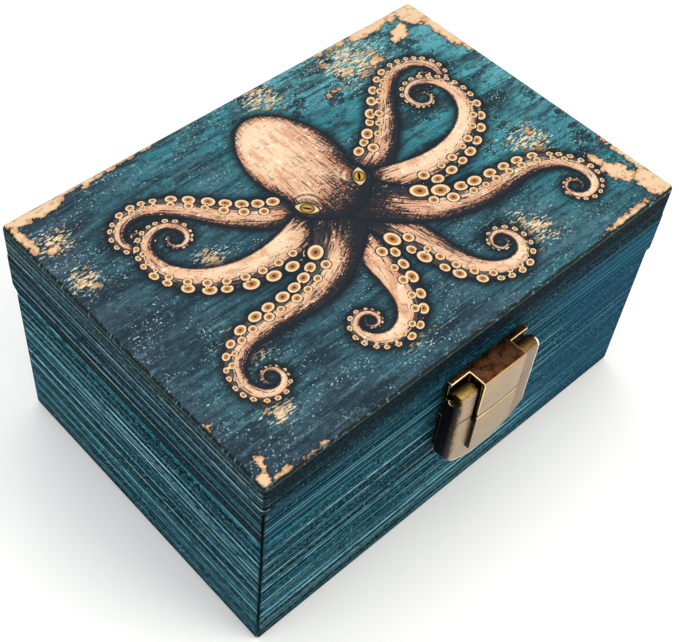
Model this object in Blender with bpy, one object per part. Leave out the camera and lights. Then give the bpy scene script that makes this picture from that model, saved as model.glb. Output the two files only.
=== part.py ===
"""Octopus trinket box: a mitred wooden box with a hinged lid and a bronze front latch.

Metres, +Z up. The origin is the centre of the underside, +X runs along the long front
face, and the front face with the latch looks towards -Y.
"""
import math

import bmesh
import bpy
from mathutils import Vector

MM = 0.001

# Woodwork
LID_LENGTH = 160.0 * MM
LID_DEPTH = 111.0 * MM
HEIGHT = 84.0 * MM
LID_HEIGHT = 27.4 * MM
SEAM_GAP = 0.3 * MM
BODY_INSET = 0.5 * MM
WALL = 9.0 * MM
TOP_BOARD = 12.0 * MM
BOTTOM_PANEL = 3.0 * MM
RABBET = 4.5 * MM
JOINT_GAP = 0.3 * MM
CORNER_ROUND = 0.9 * MM
FOOT_ROUND = 1.0 * MM
RIM_ROUND = 0.5 * MM
TOP_ROUND = 1.5 * MM

# V groove along the back of the seam, which stops the open lid
GROOVE_DEPTH = 2.8 * MM
GROOVE_ANGLE = math.radians(50.0)

# Butt hinges let into the rims
HINGE_FROM_END = 22.0 * MM
HINGE_LENGTH = 20.0 * MM
HINGE_AXIS_OUT = 0.2 * MM
KNUCKLE_RADIUS = 1.6 * MM
KNUCKLE_GAP = 0.3 * MM
HINGE_PIN_RADIUS = 0.7 * MM
RUNNING_GAP = 0.1 * MM
LEAF_THICKNESS = 0.8 * MM
RIM_BEHIND_LEAF = 1.3 * MM

# Countersunk screws in the hinge leaves
SCREW_SPACING = 11.0 * MM
SCREW_HEAD_RADIUS = 1.3 * MM
SCREW_HEAD_HEIGHT = 0.6 * MM
SCREW_RADIUS = 0.6 * MM
SCREW_LENGTH = 5.5 * MM
SCREW_POINT = 1.2 * MM
FASTENER_GAP = 0.2 * MM

# Latch plates, whose edges are turned back to the wood
PLATE_WIDTH = 30.8 * MM
PLATE_STANDOFF = 1.7 * MM
PLATE_SHEET = 0.8 * MM
PLATE_FROM_SEAM = 0.4 * MM
LATCH_ABOVE_SEAM = 14.7 * MM
BODY_PLATE_BELOW_SEAM = 15.7 * MM

# Strip, tongue and pin lugs of the lid plate
SHEET = 1.1 * MM
STRIP_OUT = 0.6 * MM
TONGUE_WIDTH = 16.8 * MM
TONGUE_FRONT = 8.2 * MM
TONGUE_BELOW_SEAM = 1.2 * MM
TONGUE_SAG = 0.6 * MM
TONGUE_ROUND = 0.7 * MM
LUG_SPAN = 13.2 * MM
LUG_REACH = 1.9 * MM

# Lever, which turns on the pin behind the tongue
PIVOT_ABOVE_SEAM = 10.0 * MM
HASP_PIN_RADIUS = 0.8 * MM
LEVER_WIDTH = 33.8 * MM
LEVER_BELOW_SEAM = 24.4 * MM
LEVER_DEPTH = 4.8 * MM
LEVER_BACK_GAP = 0.3 * MM
LEVER_SHEET = 1.2 * MM
LEVER_EDGE_ROUND = 1.1 * MM
LEVER_CORNER_HEIGHT = 10.0 * MM
LEVER_CURVE = 1.8
SLOT_GAP = 0.6 * MM
SLOT_BELOW_TONGUE = 2.0 * MM
PANEL_GAP = 0.6 * MM
PANEL_MARGIN = 6.4 * MM
PANEL_LAP = 0.25 * MM

# Catch on the body plate, which the lever's back slides over
CATCH_WIDTH = 7.0 * MM
CATCH_HEIGHT = 4.0 * MM
CATCH_RISE = 1.6 * MM
CATCH_BELOW_SEAM = 13.0 * MM
CATCH_CLEARANCE = 0.7 * MM

# Round-headed nails that hold the latch plates
NAIL_HEAD_RADIUS = 1.2 * MM
NAIL_HEAD_HEIGHT = 0.6 * MM
NAIL_RADIUS = 0.45 * MM
NAIL_LENGTH = 6.0 * MM
LID_NAIL_ABOVE_SEAM = 3.8 * MM
BODY_NAIL_BELOW_SEAM = 8.0 * MM

# Facets of the round forms
ROUND_STEPS = 24
SMALL_STEPS = 12
EDGE_STEPS = 3
CURVE_STEPS = 8
OVERSHOOT = 5.0 * MM

# Finishes: linear colour, roughness, metallic value
STAINED_PINE = ((0.012, 0.075, 0.105), 0.55, 0.0)
DARK_STAINED_PINE = ((0.010, 0.032, 0.050), 0.55, 0.0)
PAINTED_TOP = ((0.013, 0.080, 0.110), 0.50, 0.0)
PLYWOOD = ((0.030, 0.095, 0.110), 0.70, 0.0)
ANTIQUE_BRONZE = ((0.420, 0.300, 0.170), 0.35, 1.0)
BRASS = ((0.550, 0.400, 0.180), 0.30, 1.0)

# Places worked out from the sizes above
LID_X = LID_LENGTH / 2
LID_Y = LID_DEPTH / 2
SEAM_Z = HEIGHT - LID_HEIGHT
BODY_X = LID_X - BODY_INSET
BODY_Y = LID_Y - BODY_INSET
BODY_TOP_Z = SEAM_Z - SEAM_GAP / 2
LID_BOTTOM_Z = SEAM_Z + SEAM_GAP / 2
TOP_BOARD_Z = HEIGHT - TOP_BOARD
HINGE_X = LID_X - HINGE_FROM_END - HINGE_LENGTH / 2
HINGE_Y = LID_Y - GROOVE_DEPTH + HINGE_AXIS_OUT
LEAF_INNER_Y = BODY_Y - WALL + RIM_BEHIND_LEAF
LEAF_OUTER_Y = HINGE_Y - KNUCKLE_RADIUS - KNUCKLE_GAP
LATCH_TOP_Z = SEAM_Z + LATCH_ABOVE_SEAM
PLATE_Y = -(LID_Y + PLATE_STANDOFF)
TONGUE_HALF = TONGUE_WIDTH / 2
TONGUE_FRONT_Y = -(LID_Y + TONGUE_FRONT)
TONGUE_BOTTOM_Z = SEAM_Z - TONGUE_BELOW_SEAM
LEVER_HALF = LEVER_WIDTH / 2
LEVER_BOTTOM_Z = SEAM_Z - LEVER_BELOW_SEAM
LEVER_BACK_Y = PLATE_Y - LEVER_BACK_GAP
LEVER_FRONT_Y = LEVER_BACK_Y - LEVER_DEPTH
EAR_RADIUS = LEVER_DEPTH / 2
PIVOT_Y = LEVER_BACK_Y - EAR_RADIUS
PIVOT_Z = SEAM_Z + PIVOT_ABOVE_SEAM
SLOT_HALF = TONGUE_HALF + SLOT_GAP
SLOT_BOTTOM_Z = TONGUE_BOTTOM_Z - SLOT_BELOW_TONGUE


def clear_scene():
    for item in list(bpy.data.objects):
        bpy.data.objects.remove(item, do_unlink=True)


def make_material(name, finish):
    colour, roughness, metallic = finish
    material = bpy.data.materials.new(name)
    material.use_nodes = True
    shader = material.node_tree.nodes["Principled BSDF"]
    shader.inputs["Base Color"].default_value = (*colour, 1.0)
    shader.inputs["Roughness"].default_value = roughness
    shader.inputs["Metallic"].default_value = metallic
    return material


def add_object(name, mesh, finish):
    """Link a mesh as a sub-part, or as a hidden cutter where it has no finish."""
    item = bpy.data.objects.new(name, mesh)
    bpy.context.collection.objects.link(item)
    if finish is None:
        item.hide_render = True
        item.display_type = "WIRE"
    else:
        mesh.materials.append(make_material(name + "_finish", finish))
    return item


def loft(name, loops, finish=None):
    """Join closed loops of points, each with the same count, and cap both ends."""
    bm = bmesh.new()
    rings = []
    for loop in loops:
        rings.append([bm.verts.new(point) for point in loop])
    for lower, upper in zip(rings, rings[1:]):
        count = len(lower)
        for i in range(count):
            j = (i + 1) % count
            bm.faces.new((lower[i], lower[j], upper[j], upper[i]))
    bm.faces.new(list(reversed(rings[0])))
    bm.faces.new(rings[-1])
    bmesh.ops.recalc_face_normals(bm, faces=bm.faces)
    mesh = bpy.data.meshes.new(name)
    bm.to_mesh(mesh)
    bm.free()
    mesh.shade_smooth()
    mesh.set_sharp_from_angle(angle=math.radians(30.0))
    return add_object(name, mesh, finish)


def box(name, low, high, finish=None):
    """Rectangular block between two opposite corners."""
    corners = ((low[0], low[1]), (high[0], low[1]), (high[0], high[1]), (low[0], high[1]))
    loops = [[(x, y, z) for x, y in corners] for z in (low[2], high[2])]
    return loft(name, loops, finish)


def prism_along_x(name, outline, x_low, x_high, finish=None):
    """Extrude an outline of (y, z) points along X."""
    loops = [[(x, y, z) for y, z in outline] for x in (x_low, x_high)]
    return loft(name, loops, finish)


def prism_along_y(name, outline, y_low, y_high, finish=None):
    """Extrude an outline of (x, z) points along Y."""
    loops = [[(x, y, z) for x, z in outline] for y in (y_low, y_high)]
    return loft(name, loops, finish)


def turned(name, profile, origin, axis, steps, finish=None):
    """Turn a profile of (distance, radius) pairs about an axis through the origin."""
    direction = Vector(axis).normalized()
    side = direction.orthogonal().normalized()
    other = direction.cross(side)
    loops = []
    for distance, radius in profile:
        centre = Vector(origin) + direction * distance
        loop = []
        for i in range(steps):
            angle = 2 * math.pi * (i + 0.5) / steps
            spoke = side * math.cos(angle) + other * math.sin(angle)
            loop.append(centre + spoke * radius)
        loops.append(loop)
    return loft(name, loops, finish)


def rod_along_x(name, radius, x_low, x_high, y, z, finish=None):
    profile = ((0.0, radius), (x_high - x_low, radius))
    return turned(name, profile, (x_low, y, z), (1, 0, 0), ROUND_STEPS, finish)


def combine(item, other, operation):
    modifier = item.modifiers.new(operation.lower() + "_" + other.name, "BOOLEAN")
    modifier.operation = operation
    modifier.solver = "EXACT"
    modifier.object = other


def cut(item, *cutters):
    for cutter in cutters:
        combine(item, cutter, "DIFFERENCE")


def join(item, *additions):
    for addition in additions:
        combine(item, addition, "UNION")


def rounded_end(radius):
    """Pairs of height above a board's end and inset, from its end to its full width."""
    if radius == 0.0:
        return [(0.0, 0.0)]
    pairs = []
    for i in range(EDGE_STEPS + 1):
        angle = math.pi / 2 * i / EDGE_STEPS
        pairs.append((radius * (1 - math.cos(angle)), radius * (1 - math.sin(angle))))
    return pairs


def board_levels(z_low, z_high, low_round, high_round):
    """Heights of a board with its insets, for outer edges rounded at either end."""
    levels = [(z_low + rise, inset) for rise, inset in rounded_end(low_round)]
    upper = [(z_high - rise, inset) for rise, inset in rounded_end(high_round)]
    return levels + upper[::-1]


def mitred_outline(half_length, face, inset):
    """Plan of a front board, outer face at y = -face, with mitred ends."""
    mitre_angle = math.pi / 4 - math.asin(JOINT_GAP / (2 * CORNER_ROUND))
    centre_x = half_length - inset - CORNER_ROUND
    centre_y = -(face - inset - CORNER_ROUND)
    right_end = []
    for i in range(EDGE_STEPS + 1):
        angle = mitre_angle * i / EDGE_STEPS
        x = centre_x + CORNER_ROUND * math.sin(angle)
        y = centre_y - CORNER_ROUND * math.cos(angle)
        right_end.append((x, y))
    right_end.append((half_length - WALL - JOINT_GAP * math.sqrt(0.5), -face + WALL))
    left_end = [(-x, y) for x, y in reversed(right_end)]
    return left_end + right_end


def mitred_frame(prefix, half_x, half_y, levels, finish):
    """Four boards with mitred corners: each is made as the front one and turned round."""
    boards = {}
    sides = (("front", half_x, half_y), ("right", half_y, half_x))
    sides += (("back", half_x, half_y), ("left", half_y, half_x))
    for quarter, (side, half_length, face) in enumerate(sides):
        loops = []
        for z, inset in levels:
            loops.append([(x, y, z) for x, y in mitred_outline(half_length, face, inset)])
        board = loft(prefix + "_" + side, loops, finish)
        board.rotation_euler = (0.0, 0.0, quarter * math.pi / 2)
        boards[side] = board
    return boards


def hinge_groove():
    """Cutter of the V groove, with its point on the middle of the seam."""
    reach = GROOVE_DEPTH + OVERSHOOT
    rise = reach * math.tan(GROOVE_ANGLE)
    point_y = LID_Y - GROOVE_DEPTH
    outer_y = point_y + reach
    outline = ((point_y, SEAM_Z), (outer_y, SEAM_Z - rise), (outer_y, SEAM_Z + rise))
    return prism_along_x("groove_cutter", outline, -LID_X - OVERSHOOT, LID_X + OVERSHOOT)


def make_body():
    levels = board_levels(0.0, BODY_TOP_Z, FOOT_ROUND, RIM_ROUND)
    boards = mitred_frame("body", BODY_X, BODY_Y, levels, STAINED_PINE)
    half_x = BODY_X - WALL + RABBET
    half_y = BODY_Y - WALL + RABBET
    recess_top = BOTTOM_PANEL + JOINT_GAP
    recess = box("rabbet_cutter", (-half_x, -half_y, -OVERSHOOT), (half_x, half_y, recess_top))
    for board in boards.values():
        cut(board, recess)
    panel_x = half_x - JOINT_GAP
    panel_y = half_y - JOINT_GAP
    box("bottom_panel", (-panel_x, -panel_y, 0.0), (panel_x, panel_y, BOTTOM_PANEL), PLYWOOD)
    return boards


def rounded_rectangle(half_x, half_y, radius):
    corners = ((1, 1, 0.0), (-1, 1, 0.5), (-1, -1, 1.0), (1, -1, 1.5))
    points = []
    for sign_x, sign_y, start in corners:
        for i in range(EDGE_STEPS + 1):
            angle = math.pi * (start + 0.5 * i / EDGE_STEPS)
            x = sign_x * (half_x - radius) + radius * math.cos(angle)
            y = sign_y * (half_y - radius) + radius * math.sin(angle)
            points.append((x, y))
    return points


def make_lid():
    levels = board_levels(LID_BOTTOM_Z, TOP_BOARD_Z - JOINT_GAP, RIM_ROUND, 0.0)
    rails = mitred_frame("lid", LID_X, LID_Y, levels, DARK_STAINED_PINE)
    loops = []
    for z, inset in board_levels(TOP_BOARD_Z, HEIGHT, 0.0, TOP_ROUND):
        outline = rounded_rectangle(LID_X - inset, LID_Y - inset, CORNER_ROUND)
        loops.append([(x, y, z) for x, y in outline])
    loft("lid_top_board", loops, PAINTED_TOP)
    return rails


def knuckle_ranges(middle_x):
    """Start and end of the three knuckles along X."""
    width = (HINGE_LENGTH - 2 * KNUCKLE_GAP) / 3
    start = middle_x - HINGE_LENGTH / 2
    ranges = []
    for i in range(3):
        low = start + i * (width + KNUCKLE_GAP)
        ranges.append((low, low + width))
    return ranges


def screw_holes_x(middle_x):
    return (middle_x - SCREW_SPACING / 2, middle_x + SCREW_SPACING / 2)


def hinge_leaf(name, middle_x, z_low, z_high, knuckles):
    """Flat leaf with its knuckles, each joined to the leaf by a short web."""
    low_x = middle_x - HINGE_LENGTH / 2
    high_x = middle_x + HINGE_LENGTH / 2
    leaf = box(name, (low_x, LEAF_INNER_Y, z_low), (high_x, LEAF_OUTER_Y, z_high), ANTIQUE_BRONZE)
    for number, (start, end) in enumerate(knuckles):
        label = f"{name}_{number}"
        web = box(label + "_web", (start, LEAF_OUTER_Y - KNUCKLE_GAP, z_low), (end, HINGE_Y, z_high))
        barrel = rod_along_x(label + "_barrel", KNUCKLE_RADIUS, start, end, HINGE_Y, SEAM_Z)
        join(leaf, web, barrel)
    bore_radius = HINGE_PIN_RADIUS + RUNNING_GAP
    bore = rod_along_x(name + "_bore", bore_radius, low_x - OVERSHOOT, high_x + OVERSHOOT, HINGE_Y, SEAM_Z)
    cut(leaf, bore)
    return leaf


def screw(name, x, z, down, leaf, board):
    """Countersunk screw through a leaf into the rim, with its hole in both."""
    origin = (x, (LEAF_INNER_Y + LEAF_OUTER_Y) / 2, z)
    axis = (0, 0, -1) if down else (0, 0, 1)
    head = SCREW_HEAD_RADIUS
    point_start = SCREW_LENGTH - SCREW_POINT
    profile = ((0.0, head), (SCREW_HEAD_HEIGHT, SCREW_RADIUS), (point_start, SCREW_RADIUS))
    profile += ((SCREW_LENGTH, SCREW_RADIUS / 4),)
    turned(name, profile, origin, axis, SMALL_STEPS, BRASS)
    gap = FASTENER_GAP
    hole_profile = ((-LEAF_THICKNESS, head + gap), (0.0, head + gap))
    hole_profile += ((SCREW_HEAD_HEIGHT, SCREW_RADIUS + gap), (SCREW_LENGTH + gap, SCREW_RADIUS + gap))
    hole = turned(name + "_hole", hole_profile, origin, axis, SMALL_STEPS)
    cut(leaf, hole)
    cut(board, hole)


def make_hinge(side, middle_x, body_back, lid_back):
    body_low_z = BODY_TOP_Z - LEAF_THICKNESS
    lid_high_z = LID_BOTTOM_Z + LEAF_THICKNESS
    knuckles = knuckle_ranges(middle_x)
    name = f"hinge_{side}"
    body_leaf = hinge_leaf(name + "_body_leaf", middle_x, body_low_z, BODY_TOP_Z, knuckles[::2])
    lid_leaf = hinge_leaf(name + "_lid_leaf", middle_x, LID_BOTTOM_Z, lid_high_z, knuckles[1:2])
    low_x = middle_x - HINGE_LENGTH / 2
    high_x = middle_x + HINGE_LENGTH / 2
    rod_along_x(name + "_pin", HINGE_PIN_RADIUS, low_x, high_x, HINGE_Y, SEAM_Z, BRASS)
    room_low_x = low_x - JOINT_GAP
    room_high_x = high_x + JOINT_GAP
    mortise_low = (room_low_x, LEAF_INNER_Y - JOINT_GAP, body_low_z - JOINT_GAP)
    mortise_high = (room_high_x, HINGE_Y, lid_high_z + JOINT_GAP)
    mortise = box(name + "_mortise", mortise_low, mortise_high)
    room_radius = KNUCKLE_RADIUS + JOINT_GAP
    barrel_room = rod_along_x(name + "_barrel_room", room_radius, room_low_x, room_high_x, HINGE_Y, SEAM_Z)
    for board in (body_back, lid_back):
        cut(board, mortise, barrel_room)
    for number, x in enumerate(screw_holes_x(middle_x), start=1):
        screw(f"{name}_body_screw_{number}", x, BODY_TOP_Z, True, body_leaf, body_back)
        screw(f"{name}_lid_screw_{number}", x, LID_BOTTOM_Z, False, lid_leaf, lid_back)


def make_hinges(body_back, lid_back):
    for side, sign in (("left", -1), ("right", 1)):
        make_hinge(side, sign * HINGE_X, body_back, lid_back)


def latch_plate(name, face_y, z_low, z_high):
    """Rectangular plate with its four edges turned back towards the wood."""
    half = PLATE_WIDTH / 2
    plate = box(name, (-half, PLATE_Y, z_low), (half, face_y - JOINT_GAP, z_high), ANTIQUE_BRONZE)
    inner = half - PLATE_SHEET
    hollow = box(name + "_hollow", (-inner, PLATE_Y + PLATE_SHEET, z_low + PLATE_SHEET),
                 (inner, face_y + OVERSHOOT, z_high - PLATE_SHEET))
    cut(plate, hollow)
    return plate


def nail(name, x, z, plate, board):
    """Round-headed nail through a latch plate into the board behind it."""
    origin = (x, PLATE_Y - FASTENER_GAP - NAIL_HEAD_HEIGHT, z)
    dome_top = ((0.0, NAIL_HEAD_RADIUS / 2), (NAIL_HEAD_HEIGHT / 2, NAIL_HEAD_RADIUS * 0.9))
    profile = dome_top + ((NAIL_HEAD_HEIGHT, NAIL_HEAD_RADIUS), (NAIL_HEAD_HEIGHT, NAIL_RADIUS))
    profile += ((NAIL_LENGTH, NAIL_RADIUS), (NAIL_LENGTH + NAIL_RADIUS, NAIL_RADIUS / 4))
    turned(name, profile, origin, (0, 1, 0), SMALL_STEPS, BRASS)
    hole_end = NAIL_LENGTH + NAIL_RADIUS + FASTENER_GAP
    hole_profile = ((0.0, NAIL_RADIUS + FASTENER_GAP), (hole_end, NAIL_RADIUS + FASTENER_GAP))
    hole = turned(name + "_hole", hole_profile, origin, (0, 1, 0), SMALL_STEPS)
    cut(plate, hole)
    cut(board, hole)


def tongue_profile():
    """Side view of the tongue: out from the strip, round the front edge and down."""
    centre_y = TONGUE_FRONT_Y + TONGUE_ROUND
    centre_z = LATCH_TOP_Z - TONGUE_ROUND
    low_z = TONGUE_BOTTOM_Z - TONGUE_SAG
    root_y = PLATE_Y + PLATE_SHEET / 2
    points = [(root_y, LATCH_TOP_Z)]
    for i in range(EDGE_STEPS + 1):
        angle = math.pi / 2 * i / EDGE_STEPS
        y = centre_y - TONGUE_ROUND * math.sin(angle)
        z = centre_z + TONGUE_ROUND * math.cos(angle)
        points.append((y, z))
    points += [(TONGUE_FRONT_Y, low_z), (TONGUE_FRONT_Y + SHEET, low_z)]
    points += [(TONGUE_FRONT_Y + SHEET, LATCH_TOP_Z - SHEET), (root_y, LATCH_TOP_Z - SHEET)]
    return points


def sagging_edge(z_middle):
    """Points along the tongue's lower edge, lowest in the middle."""
    points = []
    for i in range(2 * CURVE_STEPS + 1):
        share = i / CURVE_STEPS - 1
        points.append((share * TONGUE_HALF, z_middle + TONGUE_SAG * share * share))
    return points


def make_lid_plate(lid_front):
    """Lid plate with its top strip, the bent tongue and two lugs for the pin."""
    plate = latch_plate("latch_lid_plate", -LID_Y, LID_BOTTOM_Z + PLATE_FROM_SEAM, LATCH_TOP_Z)
    half = PLATE_WIDTH / 2
    root_y = PLATE_Y + PLATE_SHEET / 2
    strip_low = (-half, PLATE_Y - STRIP_OUT, LATCH_TOP_Z - SHEET)
    strip = box("strip", strip_low, (half, root_y, LATCH_TOP_Z))
    tongue = prism_along_x("tongue", tongue_profile(), -TONGUE_HALF, TONGUE_HALF)
    join(plate, strip, tongue)
    for sign in (-1, 1):
        outer = sign * LUG_SPAN / 2
        inner = sign * (LUG_SPAN / 2 - SHEET)
        low = (min(outer, inner), PIVOT_Y - LUG_REACH, PIVOT_Z - LUG_REACH)
        high = (max(outer, inner), root_y, LATCH_TOP_Z - SHEET / 2)
        join(plate, box(f"lug_{sign}", low, high))
    lower_edge = sagging_edge(TONGUE_BOTTOM_Z)
    below = TONGUE_BOTTOM_Z - OVERSHOOT
    end_z = lower_edge[0][1]
    outline = [(-SLOT_HALF, end_z)] + lower_edge + [(SLOT_HALF, end_z)]
    outline += [(SLOT_HALF, below), (-SLOT_HALF, below)]
    trim = prism_along_y("tongue_trim", outline, TONGUE_FRONT_Y - OVERSHOOT, TONGUE_FRONT_Y + 2 * SHEET)
    bore = rod_along_x("lug_bore", HASP_PIN_RADIUS + RUNNING_GAP, -LUG_SPAN, LUG_SPAN, PIVOT_Y, PIVOT_Z)
    cut(plate, trim, bore)
    for side, sign in (("left", -1), ("right", 1)):
        x = sign * (SLOT_HALF + LEVER_HALF) / 2
        nail(f"latch_lid_nail_{side}", x, SEAM_Z + LID_NAIL_ABOVE_SEAM, plate, lid_front)


def make_body_plate(body_front):
    """Body plate with the wedge-shaped catch."""
    z_low = SEAM_Z - BODY_PLATE_BELOW_SEAM
    plate = latch_plate("latch_body_plate", -BODY_Y, z_low, BODY_TOP_Z - PLATE_FROM_SEAM)
    catch_z = SEAM_Z - CATCH_BELOW_SEAM
    root_y = PLATE_Y + PLATE_SHEET / 2
    catch_y = PLATE_Y - CATCH_RISE
    outline = ((root_y, catch_z), (catch_y, catch_z), (catch_y, catch_z + CATCH_HEIGHT / 3))
    outline += ((root_y, catch_z + CATCH_HEIGHT),)
    join(plate, prism_along_x("catch", outline, -CATCH_WIDTH / 2, CATCH_WIDTH / 2))
    for side, sign in (("left", -1), ("right", 1)):
        x = sign * (SLOT_HALF + LEVER_HALF) / 2
        nail(f"latch_body_nail_{side}", x, SEAM_Z - BODY_NAIL_BELOW_SEAM, plate, body_front)


def lever_bottom(inset):
    """Lower edge of the lever's front view from left to right, shrunk by an inset."""
    half = LEVER_HALF - inset
    height = LEVER_CORNER_HEIGHT - inset
    power = 2 / LEVER_CURVE
    points = []
    for i in range(-CURVE_STEPS, CURVE_STEPS + 1):
        angle = math.pi / 2 * i / CURVE_STEPS
        x = math.copysign(half * abs(math.sin(angle)) ** power, angle)
        z = LEVER_BOTTOM_Z + inset + height * (1 - abs(math.cos(angle)) ** power)
        points.append((x, z))
    return points


def lever_outline(inset, top_z):
    half = LEVER_HALF - inset
    return [(-half, top_z)] + lever_bottom(inset) + [(half, top_z)]


def lever_height_at(x, inset):
    """Height of the lever's lower edge at one place, shrunk by an inset."""
    share = min(abs(x) / (LEVER_HALF - inset), 1.0)
    fall = (1 - share ** LEVER_CURVE) ** (1 / LEVER_CURVE)
    return LEVER_BOTTOM_Z + inset + (LEVER_CORNER_HEIGHT - inset) * (1 - fall)


def lever_hollow():
    """Cutter of the lever's hollow back: a U inside the sheet."""
    top_z = PIVOT_Z - EAR_RADIUS - LEVER_SHEET / 2
    inner = SLOT_HALF + LEVER_SHEET
    outline = lever_outline(LEVER_SHEET, top_z)
    outline += [(inner, top_z), (inner, SLOT_BOTTOM_Z - LEVER_SHEET)]
    outline += [(-inner, SLOT_BOTTOM_Z - LEVER_SHEET), (-inner, top_z)]
    return prism_along_y("lever_hollow", outline, LEVER_FRONT_Y + LEVER_SHEET, LEVER_BACK_Y + OVERSHOOT)


def lever_panel():
    """Raised panel of the lever, level with the tongue's front."""
    outline = sagging_edge(TONGUE_BOTTOM_Z - PANEL_GAP)
    lower = []
    for x, _ in outline:
        lower.append((x, lever_height_at(x, PANEL_MARGIN)))
    outline += lower[::-1]
    return prism_along_y("lever_panel", outline, TONGUE_FRONT_Y, LEVER_FRONT_Y + PANEL_LAP)


def lever_ear(name, sign):
    """Round top of one arm, about the pin, with its outer end rounded."""
    length = LEVER_HALF - SLOT_HALF
    profile = [(0.0, EAR_RADIUS)]
    for i in range(EDGE_STEPS + 1):
        angle = math.pi / 2 * i / EDGE_STEPS
        distance = length - LEVER_EDGE_ROUND * (1 - math.sin(angle))
        profile.append((distance, EAR_RADIUS - LEVER_EDGE_ROUND * (1 - math.cos(angle))))
    return turned(name, profile, (sign * SLOT_HALF, PIVOT_Y, PIVOT_Z), (sign, 0, 0), ROUND_STEPS)


def make_lever():
    """U-shaped lever, pressed from one sheet, hollow behind."""
    loops = []
    for depth, inset in board_levels(0.0, LEVER_DEPTH, 0.0, LEVER_EDGE_ROUND):
        loops.append([(x, LEVER_BACK_Y - depth, z) for x, z in lever_outline(inset, PIVOT_Z)])
    lever = loft("latch_lever", loops, ANTIQUE_BRONZE)
    join(lever, lever_ear("ear_left", -1), lever_ear("ear_right", 1))
    slot = box("lever_slot", (-SLOT_HALF, LEVER_FRONT_Y - OVERSHOOT, SLOT_BOTTOM_Z),
               (SLOT_HALF, LEVER_BACK_Y + OVERSHOOT, PIVOT_Z + OVERSHOOT))
    catch_half = CATCH_WIDTH / 2 + CATCH_CLEARANCE
    room_y = PLATE_Y - CATCH_RISE - CATCH_CLEARANCE
    room_low = (-catch_half, room_y, LEVER_BOTTOM_Z - OVERSHOOT)
    room_high = (catch_half, LEVER_BACK_Y + OVERSHOOT, SLOT_BOTTOM_Z - LEVER_SHEET * 2)
    catch_room = box("catch_room", room_low, room_high)
    bore_radius = HASP_PIN_RADIUS + RUNNING_GAP
    bore = rod_along_x("lever_bore", bore_radius, -LEVER_WIDTH, LEVER_WIDTH, PIVOT_Y, PIVOT_Z)
    cut(lever, lever_hollow(), slot, catch_room, bore)
    join(lever, lever_panel())
    pin_half = LEVER_HALF - FASTENER_GAP
    rod_along_x("latch_pin", HASP_PIN_RADIUS, -pin_half, pin_half, PIVOT_Y, PIVOT_Z, BRASS)


clear_scene()
body_boards = make_body()
lid_rails = make_lid()
groove = hinge_groove()
for side in ("left", "right", "back"):
    cut(body_boards[side], groove)
    cut(lid_rails[side], groove)
make_hinges(body_boards["back"], lid_rails["back"])
make_lid_plate(lid_rails["front"])
make_body_plate(body_boards["front"])
make_lever()
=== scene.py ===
"""Octopus trinket box, dressed for rendering round its packed construction.

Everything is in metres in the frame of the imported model. The sections follow the box as it is put
together: boards, bottom, lid top with its picture, hinges, screws and nails, latch, and the studio.
"""
import math

import bmesh
import bpy
import numpy as np
from mathutils import Matrix, Vector


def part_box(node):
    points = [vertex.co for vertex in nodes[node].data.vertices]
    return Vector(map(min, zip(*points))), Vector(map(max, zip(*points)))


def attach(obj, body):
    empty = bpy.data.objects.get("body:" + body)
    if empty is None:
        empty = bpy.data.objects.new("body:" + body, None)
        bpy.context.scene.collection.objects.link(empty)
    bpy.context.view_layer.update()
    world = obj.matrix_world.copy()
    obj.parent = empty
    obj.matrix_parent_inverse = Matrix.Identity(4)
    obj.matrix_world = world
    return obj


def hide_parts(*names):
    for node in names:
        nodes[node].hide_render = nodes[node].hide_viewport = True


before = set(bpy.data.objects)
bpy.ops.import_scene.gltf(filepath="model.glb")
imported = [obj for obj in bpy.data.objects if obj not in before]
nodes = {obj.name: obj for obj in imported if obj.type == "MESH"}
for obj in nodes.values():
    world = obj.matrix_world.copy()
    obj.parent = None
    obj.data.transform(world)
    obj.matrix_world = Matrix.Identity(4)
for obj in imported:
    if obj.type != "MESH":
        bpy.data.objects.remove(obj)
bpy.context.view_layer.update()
MM = 0.001


# Body boards and lid rails: pine, mitred and glued at the corners. The outsides were wire brushed
# along the grain, which wears the soft wood back, then stained teal and sanded lightly, so that the
# hard lines show pale and the hollows nearly black.
ROW_HEIGHT = 0.26 * MM
COLUMN_WIDTH = 2.4 * MM
FACE_SKIN = 0.02 * MM
OVERLAP = 2.0 * MM
BRUSHED_DEPTH = 0.16
SPARE_ROWS = 14
LINE_PITCH = 1.15
LINE_LENGTH = 150.0
BOARD_SHIFT = 7.3
BOARD_STAGGER = 1.7
WAVER_SPACING = (90.0, 30.0, 1.0)
WAVER_HEIGHT = 2.0
# Spacing in mm and half width of the hard lines.
HARD_LINES = {"strong": (2.2, 0.30), "thin": (3.3, 0.40), "faint": (1.0, 0.34), "dark": (1.3, 0.62)}
# Spacing in mm along the grain, across it and through the board, then detail and roughness.
GRAIN = {
    "bands": ((200.0, 7.5, 1.0), 2.0, 0.55),
    "clouds": ((45.0, 10.0, 1.0), 2.0, 0.5),
    "fine": ((140.0, 0.75, 1.0), 2.0, 0.5),
    "fading": ((60.0, 2.0, 1.0), 1.0, 0.5),
    "gaps": ((5.0, 1.0, 1.0), 3.0, 0.8),
    "pores": ((1.0, 0.42, 1.0), 2.0, 0.75),
}
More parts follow.
